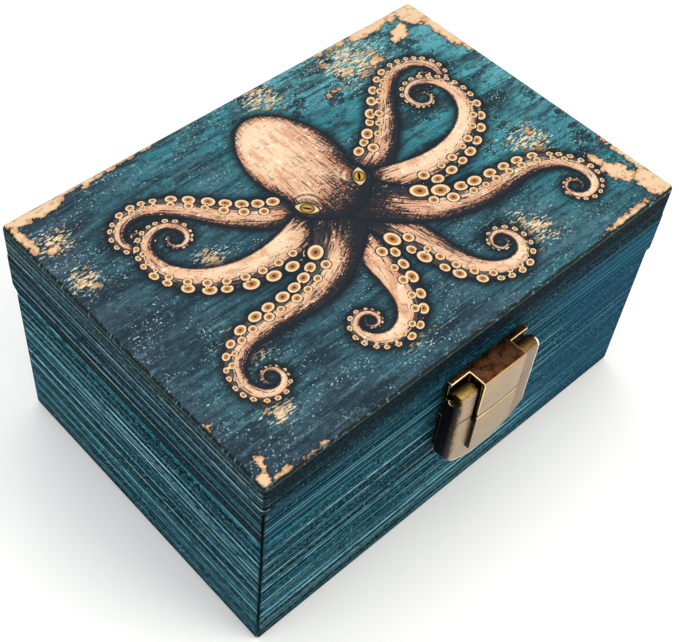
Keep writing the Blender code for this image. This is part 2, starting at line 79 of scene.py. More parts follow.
# More patterns, worked out from those there are: name, operation and what it works on. A SPAN
# goes from 0 to 1, or from the third number to the fourth, between its first two.
PINE_STEPS = (
    ("crest", "SPAN", "rise", 76.0, 82.0),
    ("upper", "SPAN", "rise", 2.0, 14.0, 0.4, 1.0),
    ("fading", "SPAN", "fading", 0.36, 0.50, 0.25, 1.0),
    ("kept", "SPAN", "along", 20.0, 55.0, 1.0, 0.3),
    ("broken", "SPAN", "gaps", 0.36, 0.48),
    ("broken", "MULTIPLY", "broken", "fading"),
    ("broken", "MULTIPLY", "broken", "kept"),
    ("broken", "MULTIPLY", "broken", "upper"),
    ("lower", "SPAN", "rise", 30.0, 22.0),
    ("lower", "MULTIPLY", "lower", "broken"),
    ("far left", "LESS_THAN", "along", -78.0),
    ("left end", "SPAN", "rise", 58.5, 63.5, 0.15, 1.0),
    ("left end", "MULTIPLY", "left end", "broken"),
    ("left end", "MULTIPLY", "far left", "left end"),
    ("front", "LESS_THAN", "depth", -54.8),
    ("front low", "SPAN", "rise", 71.5, 65.0),
    ("front low", "MULTIPLY", "front low", "front"),
    ("worn edge", "MULTIPLY_ADD", "pores", 1.1, "edge"),
    ("relief", "MULTIPLY_ADD", "pores", 0.6, "fine"),
)
# Pattern, where its coat starts and is full, how much it covers, the pattern it is held to, colour.
BODY_STAIN = (
    ("bands", 0.40, 0.62, 1.0, None, "#0f5b77"),
    ("clouds", 0.52, 0.72, 0.5, None, "#166563"),
    ("rise", 45.0, 55.0, 0.45, None, "#1b7378"),
    ("rise", 20.0, 8.0, 0.55, None, "#12504f"),
    ("height", 0.72, 0.10, 0.92, None, "#021824"),
    ("fine", 0.54, 0.46, 0.92, "upper", "#000d17"),
    ("fine", 0.55, 0.64, 0.45, None, "#14708a"),
    ("pores", 0.53, 0.60, 0.60, None, "#17758c"),
    ("pores", 0.51, 0.44, 0.96, None, "#000409"),
    ("dark", 0.12, 0.40, 0.95, None, "#000308"),
    ("along", 10.0, 48.0, 0.45, None, "#0f475f"),
    ("faint", 0.32, 0.66, 0.90, "broken", "#4aa4bc"),
    ("strong", 0.28, 0.54, 1.00, "broken", "#b2e2ef"),
    ("fine", 0.49, 0.42, 0.65, "lower", "#010c14"),
    ("thin", 0.30, 0.56, 1.00, "lower", "#98dce8"),
    ("pores", 0.61, 0.67, 0.65, None, "#8cc8d6"),
    ("along", 18.0, 55.0, 0.36, None, "#003850"),
    ("rise", 2.6, 0.4, 0.8, None, "#02161f"),
    ("worn edge", 1.5, 0.55, 0.90, None, "#010f16"),
)
LID_STAIN_AND_SHADE = (
    ("bands", 0.42, 0.62, 0.9, None, "#13506a"),
    ("clouds", 0.55, 0.75, 0.5, None, "#1b4c4c"),
    ("rise", 72.5, 78.0, 0.55, None, "#0a2c35"),
    ("height", 0.65, 0.05, 0.90, None, "#021520"),
    ("fine", 0.52, 0.44, 0.85, None, "#010b13"),
    ("fine", 0.55, 0.66, 0.40, None, "#105a6e"),
    ("pores", 0.54, 0.61, 0.45, None, "#155f72"),
    ("pores", 0.51, 0.43, 0.90, None, "#000409"),
    ("dark", 0.14, 0.50, 0.85, None, "#00050a"),
    ("faint", 0.20, 0.70, 0.65, "broken", "#2e7b90"),
    ("strong", 0.24, 0.54, 0.45, "broken", "#6c9fac"),
    ("strong", 0.24, 0.54, 0.90, "left end", "#a9cdd3"),
    ("fine", 0.50, 0.43, 0.70, "left end", "#010a10"),
    ("thin", 0.24, 0.50, 0.90, "left end", "#a4bfc4"),
    ("crest", 0.00, 1.00, 0.60, None, "#14292c"),
    ("pores", 0.56, 0.64, 0.65, "crest", "#56716b"),
    ("pores", 0.62, 0.68, 0.50, None, "#75a4b0"),
    # Painted shade along the lower edge of the lid rails, where they meet the box.
    ("rise", 61.0, 57.5, 0.65, None, "#020f16"),
    ("rise", 71.0, 79.5, 0.78, "front", "#040c12"),
    ("fine", 0.43, 0.60, 0.45, "front low", "#1c5d72"),
    ("strong", 0.24, 0.54, 0.70, "front low", "#86b8c6"),
    ("along", 5.0, 50.0, 0.45, "front low", "#12536c"),
    ("worn edge", 1.5, 0.55, 0.90, None, "#010d12"),
)
INSIDE_STAIN = (
    ("bands", 0.40, 0.62, 0.7, None, "#2a6a72"),
    ("height", 0.60, 0.15, 0.55, None, "#0f3b47"),
    ("fine", 0.52, 0.38, 0.60, None, "#0b303c"),
    ("clouds", 0.60, 0.74, 0.45, None, "#5f8079"),
    ("faint", 0.25, 0.75, 0.45, "broken", "#56919a"),
    ("pores", 0.64, 0.72, 0.45, None, "#82756a"),
    ("pores", 0.42, 0.36, 0.60, None, "#06202a"),
)


def linear(code):
    """An sRGB hex colour as the linear values that a shader takes."""
    values = []
    for start in (1, 3, 5):
        value = int(code[start:start + 2], 16) / 255
        values.append(value / 12.92 if value <= 0.04045 else ((value + 0.055) / 1.055) ** 2.4)
    return (*values, 1.0)


def feed(tree, node, values):
    """Set or link the inputs of a node, which are given by place or by name."""
    for key, value in values.items() if isinstance(values, dict) else enumerate(values):
        if isinstance(value, bpy.types.NodeSocket):
            tree.links.new(value, node.inputs[key])
        else:
            node.inputs[key].default_value = value


def add(tree, kind, values=(), output=0, **settings):
    """Add a node with its settings and inputs, and give back one of its outputs."""
    node = tree.nodes.new(kind)
    for name, value in settings.items():
        setattr(node, name, value)
    feed(tree, node, values)
    return node.outputs[output] if len(node.outputs) else None


def start_finish(name):
    """A new material: itself, its tree and its shader."""
    material = bpy.data.materials.new(name)
    material.use_nodes = True
    return material, material.node_tree, material.node_tree.nodes["Principled BSDF"]


def place_in_mm(tree):
    """The place on the object, in millimetres."""
    metres = add(tree, "ShaderNodeTexCoord", output="Object")
    return add(tree, "ShaderNodeVectorMath", (metres, (MM, MM, MM)), operation="DIVIDE")


def weave_patterns(tree, place, table):
    """The noise patterns of a table, read at a place in millimetres."""
    patterns = {}
    for name, (spacing, detail, roughness) in table.items():
        scaled = add(tree, "ShaderNodeVectorMath", (place, spacing), operation="DIVIDE")
        inputs = {"Vector": scaled, "Scale": 1.0, "Detail": detail, "Roughness": roughness}
        patterns[name] = add(tree, "ShaderNodeTexNoise", inputs)
    return patterns


def derive_patterns(tree, patterns, steps):
    """Take the steps of a table one by one, each of which makes or changes a pattern."""
    for name, operation, *given in steps:
        inputs = [patterns[value] if isinstance(value, str) else value for value in given]
        if operation == "SPAN":
            patterns[name] = add(tree, "ShaderNodeMapRange", inputs)
        else:
            patterns[name] = add(tree, "ShaderNodeMath", inputs, operation=operation)


def lay_coats(tree, colour, patterns, table):
    """Lay each coat of a table over the one before it."""
    for name, start, full, cover, held_to, tint in table:
        spread = (patterns[name], start, full, 0.0, cover)
        amount = add(tree, "ShaderNodeMapRange", spread, interpolation_type="SMOOTHSTEP")
        if held_to:
            amount = add(tree, "ShaderNodeMath", (amount, patterns[held_to]), operation="MULTIPLY")
        inputs = {0: amount, 6: colour, 7: linear(tint)}
        colour = add(tree, "ShaderNodeMix", inputs, 2, data_type="RGBA")
    return colour


def hard_lines(tree, place, spacing, width):
    """Thin lines along the grain at chance heights, each with its own strength, which is the value."""
    up = (0.0, 1.0 / spacing, BOARD_STAGGER)
    across = add(tree, "ShaderNodeVectorMath", (place, up), "Value", operation="DOT_PRODUCT")
    inputs = {"W": across, "Scale": 1.0}
    apart = add(tree, "ShaderNodeTexVoronoi", inputs, "Distance", voronoi_dimensions="1D")
    line = add(tree, "ShaderNodeMapRange", (apart, width / spacing, 0.0), interpolation_type="SMOOTHSTEP")
    return add(tree, "ShaderNodeMath", (line, apart.node.outputs["Color"]), operation="MULTIPLY")


def brushed_height(tree, grain, pitch):
    """How high the brushed wood stands, 0 in the hollows to 1 on the hard lines, from the same noise
    in a material and in the relief, and the wavering place along the grain that it is read at."""
    waver = add(tree, "ShaderNodeVectorMath", (grain, WAVER_SPACING), operation="DIVIDE")
    drift = add(tree, "ShaderNodeTexNoise", {"Vector": waver, "Scale": 1.0, "Detail": 1.0})
    lift = add(tree, "ShaderNodeMath", (drift, WAVER_HEIGHT), operation="MULTIPLY")
    shift = add(tree, "ShaderNodeCombineXYZ", {"Y": lift})
    place = add(tree, "ShaderNodeVectorMath", (grain, shift), operation="ADD")
    spacing = add(tree, "ShaderNodeCombineXYZ", (LINE_LENGTH, pitch, 1.0))
    scaled = add(tree, "ShaderNodeVectorMath", (place, spacing), operation="DIVIDE")
    inputs = {"Vector": scaled, "Scale": 1.0, "Detail": 3.0, "Roughness": 0.62}
    lines = add(tree, "ShaderNodeTexNoise", inputs)
    height = add(tree, "ShaderNodeMapRange", (lines, 0.36, 0.64), interpolation_type="SMOOTHSTEP")
    return height, place


def brushed_pine(name, ground, stain, roughness):
    """Stained pine on the grain attribute of its board: open pored, dull in the hollows and with a
    soft sheen on the rubbed lines."""
    material, tree, shader = start_finish(name)
    grain = add(tree, "ShaderNodeAttribute", output="Vector", attribute_name="grain")
    height, place = brushed_height(tree, grain, LINE_PITCH)
    patterns = weave_patterns(tree, place, GRAIN)
    for line, sizes in HARD_LINES.items():
        patterns[line] = hard_lines(tree, place, *sizes)
    split = add(tree, "ShaderNodeSeparateXYZ", (place_in_mm(tree),)).node.outputs
    patterns["along"] = split["X"]
    patterns["depth"] = split["Y"]
    patterns["rise"] = add(tree, "ShaderNodeSeparateXYZ", (grain,), "Y")
    patterns["height"] = height
    patterns["edge"] = add(tree, "ShaderNodeAttribute", output="Fac", attribute_name="edge")
    derive_patterns(tree, patterns, PINE_STEPS)
    colour = lay_coats(tree, linear(ground), patterns, stain)
    inputs = {"Height": patterns["relief"], "Strength": 0.5, "Distance": 0.15 * MM}
    bump = add(tree, "ShaderNodeBump", inputs)
    sheen = add(tree, "ShaderNodeMapRange", (patterns["fine"], 0.3, 0.7, roughness + 0.1, roughness))
    feed(tree, shader, {"Base Color": colour, "Normal": bump, "Roughness": sheen})
    shader.inputs["Specular IOR Level"].default_value = 0.01
    return material


body_pine = brushed_pine("Brushed pine with teal stain", "#0d3b4e", BODY_STAIN, 0.5)
lid_pine = brushed_pine("Brushed pine with navy stain", "#0b2d3d", LID_STAIN_AND_SHADE, 0.5)
inside_pine = brushed_pine("Planed pine with thin stain", "#17505c", INSIDE_STAIN, 0.6)


def start_tree(name, sockets, result):
    """A new Geometry Nodes tree with named inputs and one result, and the sockets of its inputs."""
    tree = bpy.data.node_groups.new(name, "GeometryNodeTree")
    for socket, kind in sockets.items():
        tree.interface.new_socket(socket, in_out="INPUT", socket_type="NodeSocket" + kind)
    tree.interface.new_socket(result, in_out="OUTPUT", socket_type="NodeSocketGeometry")
    return tree, tree.nodes.new("NodeGroupInput").outputs


def brushing_tree():
    """Geometry Nodes tree that wears the soft wood back and sorts the board's faces by finish."""
    sockets = {"Board": "Geometry", "Depth": "Float", "Line pitch": "Float", "Outwards": "Vector",
               "Outer finish": "Material", "Inner finish": "Material"}
    tree, given = start_tree("Brushed lines", sockets, "Board")
    grain = add(tree, "GeometryNodeInputNamedAttribute", {"Name": "grain"}, data_type="FLOAT_VECTOR")
    brushed = add(tree, "GeometryNodeInputNamedAttribute", {"Name": "brushed"}, data_type="FLOAT")
    height, _ = brushed_height(tree, grain, given["Line pitch"])
    worn = add(tree, "ShaderNodeMath", (height, 1.0), operation="SUBTRACT")
    worn = add(tree, "ShaderNodeMath", (worn, brushed), operation="MULTIPLY")
    worn = add(tree, "ShaderNodeMath", (worn, given["Depth"]), operation="MULTIPLY")
    normal = add(tree, "GeometryNodeInputNormal")
    offset = add(tree, "ShaderNodeVectorMath", {0: normal, "Scale": worn}, operation="SCALE")
    carved = add(tree, "GeometryNodeSetPosition", {"Geometry": given["Board"], "Offset": offset})
    whole = add(tree, "GeometryNodeRealizeInstances", (carved,))
    inputs = (normal, given["Outwards"])
    facing = add(tree, "ShaderNodeVectorMath", inputs, "Value", operation="DOT_PRODUCT")
    outside = add(tree, "FunctionNodeCompare", (facing, 0.3), operation="GREATER_THAN")
    inputs = {"Geometry": whole, "Material": given["Inner finish"]}
    lined = add(tree, "GeometryNodeSetMaterial", inputs)
    inputs = {"Geometry": lined, "Selection": outside, "Material": given["Outer finish"]}
    finished = add(tree, "GeometryNodeSetMaterial", inputs)
    add(tree, "NodeGroupOutput", (finished,))
    return tree


brushed_lines = brushing_tree()


def place_object(name, mesh):
    item = bpy.data.objects.new(name, mesh)
    bpy.context.scene.collection.objects.link(item)
    return item


def run_tree(item, tree, values):
    """Put a Geometry Nodes tree on an object, with its inputs set by their names' identifiers."""
    modifier = item.modifiers.new(tree.name, "NODES")
    modifier.node_group = tree
    for socket in tree.interface.items_tree:
        if socket.in_out == "INPUT" and socket.name in values:
            modifier[socket.identifier] = values[socket.name]


def as_plain_mesh(item, name, sharp_angle=35.0):
    """The modified shape of an object as the plain mesh of a new one, which takes its place."""
    mesh = bpy.data.meshes.new_from_object(item.evaluated_get(bpy.context.evaluated_depsgraph_get()))
    bpy.data.objects.remove(item)
    mesh.name = name
    mesh.shade_smooth()
    mesh.set_sharp_from_angle(angle=math.radians(sharp_angle))
    return place_object(name, mesh)


def merged_copy(node, reach=0.002):
    """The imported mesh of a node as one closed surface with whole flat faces."""
    bm = bmesh.new()
    bm.from_mesh(nodes[node].data)
    bmesh.ops.remove_doubles(bm, verts=bm.verts, dist=reach * MM)
    bmesh.ops.dissolve_limit(bm, angle_limit=0.001, verts=bm.verts, edges=bm.edges)
    mesh = bpy.data.meshes.new(node + "_copy")
    bm.to_mesh(mesh)
    bm.free()
    return mesh


def corners(mesh):
    """The mesh's points as an array."""
    values = np.empty(len(mesh.vertices) * 3, np.float32)
    mesh.vertices.foreach_get("co", values)
    return values.reshape(-1, 3)


def store(mesh, name, values):
    """Keep one number or one vector for each point of the mesh."""
    kind, key = ("FLOAT", "value") if values.ndim == 1 else ("FLOAT_VECTOR", "vector")
    attribute = mesh.attributes.new(name, kind, "POINT")
    attribute.data.foreach_set(key, np.ascontiguousarray(values, np.float32).ravel())


def mesh_from(name, points, faces):
    """A mesh with its faces turned outwards."""
    bm = bmesh.new()
    made = [bm.verts.new(point) for point in points]
    for face in faces:
        bm.faces.new([made[index] for index in face])
    bmesh.ops.recalc_face_normals(bm, faces=bm.faces)
    mesh = bpy.data.meshes.new(name)
    bm.to_mesh(mesh)
    bm.free()
    return mesh


def face_block(low, high, out, along):
    """A block with one finely divided face, just inside the board's own outer face."""
    plane = max(low @ out, high @ out) - FACE_SKIN
    half = (high - low) @ along / 2 + OVERLAP
    across = np.linspace(-half, half, int(2 * half / COLUMN_WIDTH) + 2)
    rows = int((high[2] - low[2]) / ROW_HEIGHT) + SPARE_ROWS
    upright = np.linspace(low[2] - OVERLAP, high[2] + OVERLAP, rows)
    run, rise = np.meshgrid(across, upright)
    face = run[..., None] * along + plane * out + rise[..., None] * np.array((0.0, 0.0, 1.0))
    depth = (plane - (high - low) @ np.abs(out) - 2 * OVERLAP) * out
    ends = [(side, height) for side in across[[0, -1]] for height in upright[[0, -1]]]
    back = [side * along + depth + np.array((0.0, 0.0, height)) for side, height in ends]
    index = np.arange(run.size).reshape(run.shape)
    quads = np.stack([index[:-1, :-1], index[:-1, 1:], index[1:, 1:], index[1:, :-1]], -1)
    left_low, left_high, right_low, right_high = range(run.size, run.size + 4)
    faces = quads.reshape(-1, 4).tolist()
    faces.append([left_low, left_high, right_high, right_low])
    faces.append(index[0].tolist() + [right_low, left_low])
    faces.append(index[-1].tolist() + [right_high, left_high])
    faces.append(index[:, 0].tolist() + [left_high, left_low])
    faces.append(index[:, -1].tolist() + [right_high, right_low])
    points = np.concatenate([face.reshape(-1, 3), np.array(back)])
    return mesh_from("face_block", points.tolist(), faces), plane


def brushed_board(node, out, number, body, finish):
    """One mitred board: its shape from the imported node, its outer face cut fine enough to be brushed."""
    out = np.array(out)
    along = np.abs(out[[1, 0, 2]])
    low, high = (np.array(corner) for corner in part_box(node))
    block, plane = face_block(low, high, out, along)
    raw = place_object("raw_board", block)
    tool = place_object("board_shape", merged_copy(node))
    meet = raw.modifiers.new("meet", "BOOLEAN")
    meet.operation = "INTERSECT"
    meet.solver = "EXACT"
    meet.object = tool
    raw = as_plain_mesh(raw, "raw_board")
    bpy.data.objects.remove(tool)
    points = corners(raw.data)
    run = points @ along / MM
    rise = points[:, 2] / MM
    depth = (plane - points @ out) / MM
    half = high @ along / MM
    store(raw.data, "grain", np.stack([run, rise + depth, np.full(len(run), BOARD_SHIFT * number)], 1))
    store(raw.data, "edge", np.minimum.reduce([half - abs(run), rise - low[2] / MM, high[2] / MM - rise]))
    store(raw.data, "brushed", (abs(depth) < 0.01).astype(float))
    values = {"Depth": BRUSHED_DEPTH * MM, "Line pitch": LINE_PITCH, "Outwards": out.tolist(),
              "Outer finish": finish, "Inner finish": inside_pine}
    run_tree(raw, brushed_lines, values)
    piece = as_plain_mesh(raw, node + "_brushed")
    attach(piece, body)
    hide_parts(node)


SIDES = {
    "front": (0.0, -1.0, 0.0),
    "right": (1.0, 0.0, 0.0),
    "back": (0.0, 1.0, 0.0),
    "left": (-1.0, 0.0, 0.0),
}
for number, (side, out) in enumerate(SIDES.items()):
    brushed_board("body_" + side, out, number, "box", body_pine)
    brushed_board("lid_" + side, out, number + len(SIDES), "lid", lid_pine)


# Bottom: a sheet of 3 mm plywood let into a rabbet in the four boards. Its face veneer is sanded and
# has one thin coat of the stain, so the veneer's broad figure shows through.
VENEER = {
    "figure": ((90.0, 14.0, 20.0), 3.0, 0.6),
    "rings": ((120.0, 2.4, 4.0), 3.0, 0.6),
    "blots": ((13.0, 7.0, 4.0), 3.0, 0.65),
    "vessels": ((4.5, 0.45, 4.0), 2.0, 0.6),
}
VENEER_STAIN = (
    ("figure", 0.42, 0.60, 0.9, None, "#2f6d74"),
    ("rings", 0.50, 0.40, 0.75, None, "#123f4a"),
    ("rings", 0.56, 0.64, 0.50, None, "#4b858a"),
    ("blots", 0.58, 0.68, 0.50, None, "#174753"),
    ("vessels", 0.57, 0.64, 0.75, None, "#0b2a33"),
    ("vessels", 0.42, 0.35, 0.40, None, "#6f9a99"),
)


def sanded_veneer():
    """Sanded birch plywood under thin stain: flat and dull, with short dark vessels."""
    material, tree, shader = start_finish("Sanded plywood with thin stain")
    patterns = weave_patterns(tree, place_in_mm(tree), VENEER)
    colour = lay_coats(tree, linear("#235861"), patterns, VENEER_STAIN)
    inputs = {"Height": patterns["vessels"], "Strength": 0.2, "Distance": 0.1 * MM}
    bump = add(tree, "ShaderNodeBump", inputs)
    feed(tree, shader, {"Base Color": colour, "Normal": bump, "Roughness": 0.65})
    return material


def refinish(node, material):
    """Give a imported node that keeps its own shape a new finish."""
    slots = nodes[node].data.materials
    slots.clear()
    slots.append(material)


thin_stain = sanded_veneer()
refinish("bottom_panel", thin_stain)


# Lid top: a 12 mm board on the four rails, its edges rounded by hand. An octopus ornament is printed
# on it between ragged worn patches, and the print stops just short of the edges, where the stain of
# the sides shows. The picture is colour only: nothing on it stands up.
TOP_ROUND = 1.5
ROUND_STEPS = 6
CORNER_STEPS = 5
TOP_COLUMNS = 262
TOP_ROWS = 240
SIDE_ROWS = 24
GLUE_LINE = 0.2
BOARD_NUMBER = 9


def rim_directions(half_x, half_y):
    """Points round a rectangle, anticlockwise, with the way out of each; corners fan out."""
    xs = np.linspace(-half_x, half_x, TOP_COLUMNS + 1)
    ys = np.linspace(-half_y, half_y, TOP_ROWS + 1)
    runs = ([(x, -half_y) for x in xs], [(half_x, y) for y in ys], [(x, half_y) for x in xs[::-1]],
            [(-half_x, y) for y in ys[::-1]])
    points = []
    ways = []
    for quarter, run in enumerate(runs):
        facing = (quarter - 1) * math.pi / 2
        points += run
        ways += [facing] * len(run)
        for step in range(1, CORNER_STEPS):
            points.append(run[-1])
            ways.append(facing + step / CORNER_STEPS * math.pi / 2)
    ways = np.array(ways)
    return np.array(points), np.stack([np.cos(ways), np.sin(ways)], 1)


def top_board():
    """The board as one closed mesh: a fine grid on top, then rings over the rounded edge and down."""
    low, high = (np.array(corner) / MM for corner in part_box("lid_top_board"))
    half_x, half_y = high[:2] - TOP_ROUND
    columns = np.linspace(-half_x, half_x, TOP_COLUMNS + 1)
    x, y = np.meshgrid(columns, np.linspace(-half_y, half_y, TOP_ROWS + 1))
    flat = np.stack([x.ravel(), y.ravel(), np.full(x.size, high[2])], 1)
    index = np.arange(x.size).reshape(x.shape)
    quads = np.stack([index[:-1, :-1], index[:-1, 1:], index[1:, 1:], index[1:, :-1]], -1).reshape(-1, 4)
    rim, out = rim_directions(half_x, half_y)
    angles = np.linspace(0.0, math.pi / 2, ROUND_STEPS + 1)
    round_foot = high[2] - TOP_ROUND
    levels = [(TOP_ROUND * math.sin(turn), round_foot + TOP_ROUND * math.cos(turn),
               TOP_ROUND * (math.pi / 2 - turn)) for turn in angles]
    side = np.linspace(round_foot, low[2] - GLUE_LINE, SIDE_ROWS + 1)[1:]
    levels += [(TOP_ROUND, height, height - round_foot) for height in side]
    rings = [np.column_stack([rim + out * reach, np.full(len(rim), height)]) for reach, height, _ in levels]
    insets = [np.full(len(rim), inset) for _, _, inset in levels]
    ring = np.arange(len(levels) * len(rim)).reshape(len(levels), len(rim)) + x.size
    after = np.roll(ring, -1, axis=1)
    sweep = np.stack([ring[:-1], ring[1:], after[1:], after[:-1]], -1).reshape(-1, 4)
    border = TOP_ROUND * math.pi / 2
    inner = np.minimum(half_x - abs(flat[:, 0]), half_y - abs(flat[:, 1])) + border
    points = np.concatenate([flat] + rings)
    mesh = bpy.data.meshes.new("top_board")
    faces = quads.tolist() + sweep.tolist() + [ring[-1][::-1].tolist()]
    mesh.from_pydata((points * MM).tolist(), [], faces)
    store(mesh, "inset", np.concatenate([inner] + insets))
    bm = bmesh.new()
    bm.from_mesh(mesh)
    bmesh.ops.remove_doubles(bm, verts=bm.verts, dist=0.001 * MM)
    bmesh.ops.recalc_face_normals(bm, faces=bm.faces)
    bm.to_mesh(mesh)
    bm.free()
    return mesh


# The ornament: eight arms that leave the head in four pairs and curl at their ends, each with two
# rows of ringed suckers on the outer side of its curl, and the head laid over them all.
ARM_STEPS = 220
# Root x and y, heading in degrees, length, half width, then the bend in radians a mm along its length.
ARMS = (
    (4.0, 6.0, 4.0, 96.0, 6.8, (0.016, 0.028, 0.022, -0.012, -0.062, -0.130, -0.26, -0.60)),
    (5.0, 2.0, -18.0, 106.0, 7.4, (-0.006, 0.014, 0.026, 0.032, 0.062, 0.110, 0.20, 0.50)),
    (2.5, -3.0, -80.0, 84.0, 6.9, (0.006, -0.006, 0.000, 0.055, 0.090, 0.150, 0.27, 0.60)),
    (4.5, -1.0, -50.0, 104.0, 7.8, (0.000, 0.022, 0.034, 0.000, -0.052, -0.110, -0.22, -0.50)),
)
# The rows of suckers: where each starts and stops along the arm, its size, its place across the arm
# and its spacing, all as shares of the arm's half width or of the sucker's own radius.
SUCKER_ROWS = ((0.16, 0.98, 0.38, 0.78, 2.35), (0.20, 0.72, 0.26, 0.22, 3.4))
SUCKER_EDGE = 1.25
MANTLE = (14.5, 19.5, 26.0)
NECK = (11.0, 9.0, 6.0)
BROW = (4.4, 9.2, 6.5)
EYE = (3.5, 2.0, 10.2, 6.4, 52.0)
LID_RISE = 0.45
SKIN_LIGHT = (-0.22, 0.62, 0.75)
FAR = 50.0
TIP_WIDTH = 0.35
NO_SUCKER = 3.0
SUCKER_RIM = 1.12
# How far an arm or the head darkens what it lies on, and over how many mm.
ARM_SHADE = (0.75, 1.2)
HEAD_SHADE = (0.8, 2.0)
LEFT_ARM_BEND = 1.05
LEFT_ARM_TURN = 4.0


def ease(start, end, value):
    share = np.clip((value - start) / (end - start), 0.0, 1.0)
    return share * share * (3.0 - 2.0 * share)


def round_light(lean_x, lean_y):
    """Light on a rounded form, from 0 in the dark to 1, by how far its surface leans each way."""
    lean = np.minimum(lean_x ** 2 + lean_y ** 2, 1.0)
    facing = lean_x * SKIN_LIGHT[0] + lean_y * SKIN_LIGHT[1] + np.sqrt(1.0 - lean) * SKIN_LIGHT[2]
    return np.clip(0.12 + 0.88 * facing, 0.0, 1.0)


def arm_course(arm, side):
    """The middle line of an arm, its direction and its half width. The left arms are a little shorter
    and bend a little more than the right ones."""
    x, y, heading, length, width, bends = arm
    hand = 1.0 if side > 0 else LEFT_ARM_BEND
    length /= hand
    share = np.linspace(0.0, 1.0, ARM_STEPS)
    step = length / (ARM_STEPS - 1)
    bend = np.interp(share, np.linspace(0.0, 1.0, len(bends)), bends) * hand
    start = math.radians(heading if side > 0 else heading + LEFT_ARM_TURN)
    angle = start + np.cumsum(bend) * step
    xs = x + np.cumsum(np.cos(angle)) * step
    ys = y + np.cumsum(np.sin(angle)) * step
    half = width * (1.0 - share) + TIP_WIDTH
    if side < 0:
        return -xs, ys, math.pi - angle, half, length
    return xs, ys, angle, half, length


def shaded(tone, form, shade):
    """The tone round a form that darkens what it lies on."""
    return tone * (1.0 - shade[0] * np.exp(np.minimum(form, 0.0) / shade[1]))


def draw_arm(picture, x, y, arm, side, number_of_arm):
    """Draw one arm and its suckers over what is drawn already."""
    xs, ys, angle, half, length = arm_course(arm, side)
    edge = np.full(x.shape, -FAR)
    nearest = np.zeros(x.shape, int)
    for number in range(ARM_STEPS):
        reach = half[number] - np.hypot(x - xs[number], y - ys[number])
        closer = reach > edge
        edge[closer] = reach[closer]
        nearest[closer] = number
    curl = math.copysign(1.0, arm[5][-1]) * side
    turn = angle[nearest]
    across = np.cos(turn) * (y - ys[nearest]) - np.sin(turn) * (x - xs[nearest])
    across = np.clip(across / half[nearest], -1.0, 1.0)
    light = round_light(-np.sin(turn) * across, np.cos(turn) * across)
    light *= 0.35 + 0.65 * ease(0.0, 0.2, nearest / ARM_STEPS)
    inside = edge > 0
    picture["under"] = np.where(inside, -curl * across, picture["under"])
    run = nearest / ARM_STEPS * length
    flow = np.stack([run, across * half[nearest], np.full(x.shape, 5.3 * number_of_arm)], 1)
    picture["flow"] = np.where(inside[:, None], flow, picture["flow"])
    picture["tone"] = np.where(inside, light, shaded(picture["tone"], edge, ARM_SHADE))
    picture["line"] = np.where(inside, edge, np.minimum(picture["line"], -edge))
    picture["sucker"] = np.where(inside, NO_SUCKER, picture["sucker"])
    picture["skin"] = np.maximum(picture["skin"], edge)
    for start, stop, size, place, spacing in SUCKER_ROWS:
        at = start * length
        while at < stop * length:
            number = int(at / length * (ARM_STEPS - 1))
            radius = (size * half[number] + 0.15) * (1.0 + 0.2 * math.sin(2.4 * at))
            middle_x = xs[number] + math.sin(angle[number]) * curl * half[number] * place
            middle_y = ys[number] - math.cos(angle[number]) * curl * half[number] * place
            off_x = x - middle_x
            off_y = y - middle_y
            run = math.cos(angle[number]) * off_x + math.sin(angle[number]) * off_y
            off = math.cos(angle[number]) * off_y - math.sin(angle[number]) * off_x
            ring = np.hypot(run, off * (1.0 + 0.35 * place)) / radius
            picture["sucker"] = np.where(ring < SUCKER_EDGE, ring, picture["sucker"])
            picture["skin"] = np.maximum(picture["skin"], (SUCKER_RIM - ring) * radius)
            at += spacing * radius


def draw_head(picture, x, y):
    """Draw the mantle, the neck and the two brows as one smooth form, with an eye under each brow."""
    wide, long, middle = MANTLE
    mantle = (1.0 - np.hypot(x / (wide - 0.1 * (y - middle)), (y - middle) / long)) * 15.0
    neck = (1.0 - np.hypot(x / NECK[0], (y - NECK[2]) / NECK[1])) * 9.0
    brows = BROW[0] - np.hypot(abs(x) - BROW[1], y - BROW[2])
    head = np.logaddexp(mantle / 2.5, neck / 2.5) * 2.5
    head = np.logaddexp(head, brows)
    light = round_light(x / (wide + 1.5), (y - middle + 7.0) / (long + 8.0))
    light *= 0.55 + 0.45 * ease(0.0, 3.5, head)
    inside = head > 0
    picture["tone"] = np.where(inside, light, shaded(picture["tone"], head, HEAD_SHADE))
    picture["line"] = np.where(inside, head, np.minimum(picture["line"], -head))
    picture["sucker"] = np.where(inside, NO_SUCKER, picture["sucker"])
    picture["skin"] = np.maximum(picture["skin"], head)
    picture["under"] = np.where(inside, -1.0, picture["under"])
    flow = np.stack([y, x * (1.0 + 0.02 * y), np.full(x.shape, 3.1)], 1)
    picture["flow"] = np.where(inside[:, None], flow, picture["flow"])
    long, wide, middle_x, middle_y, turn = EYE
    angle = math.radians(turn)
    run = ((abs(x) - middle_x) * math.cos(angle) + (y - middle_y) * math.sin(angle)) / long
    off = ((y - middle_y) * math.cos(angle) - (abs(x) - middle_x) * math.sin(angle)) / wide
    picture["eye"] = abs(off) + 0.85 * run ** 2
    picture["lid"] = np.hypot(run * 0.95, (off - LID_RISE) * 0.72) + 0.25 * run ** 2
    picture["iris"] = np.hypot(1.5 * run, off)
    picture["pupil"] = np.hypot(run / 0.55, off / 0.24)
    fold = np.exp(-((abs(x) - BROW[1] + 1.6) ** 2 + (y - BROW[2] - 3.2) ** 2) / 7.0)
    picture["tone"] = np.where(inside, np.minimum(picture["tone"] + 0.5 * fold, 1.0), picture["tone"])


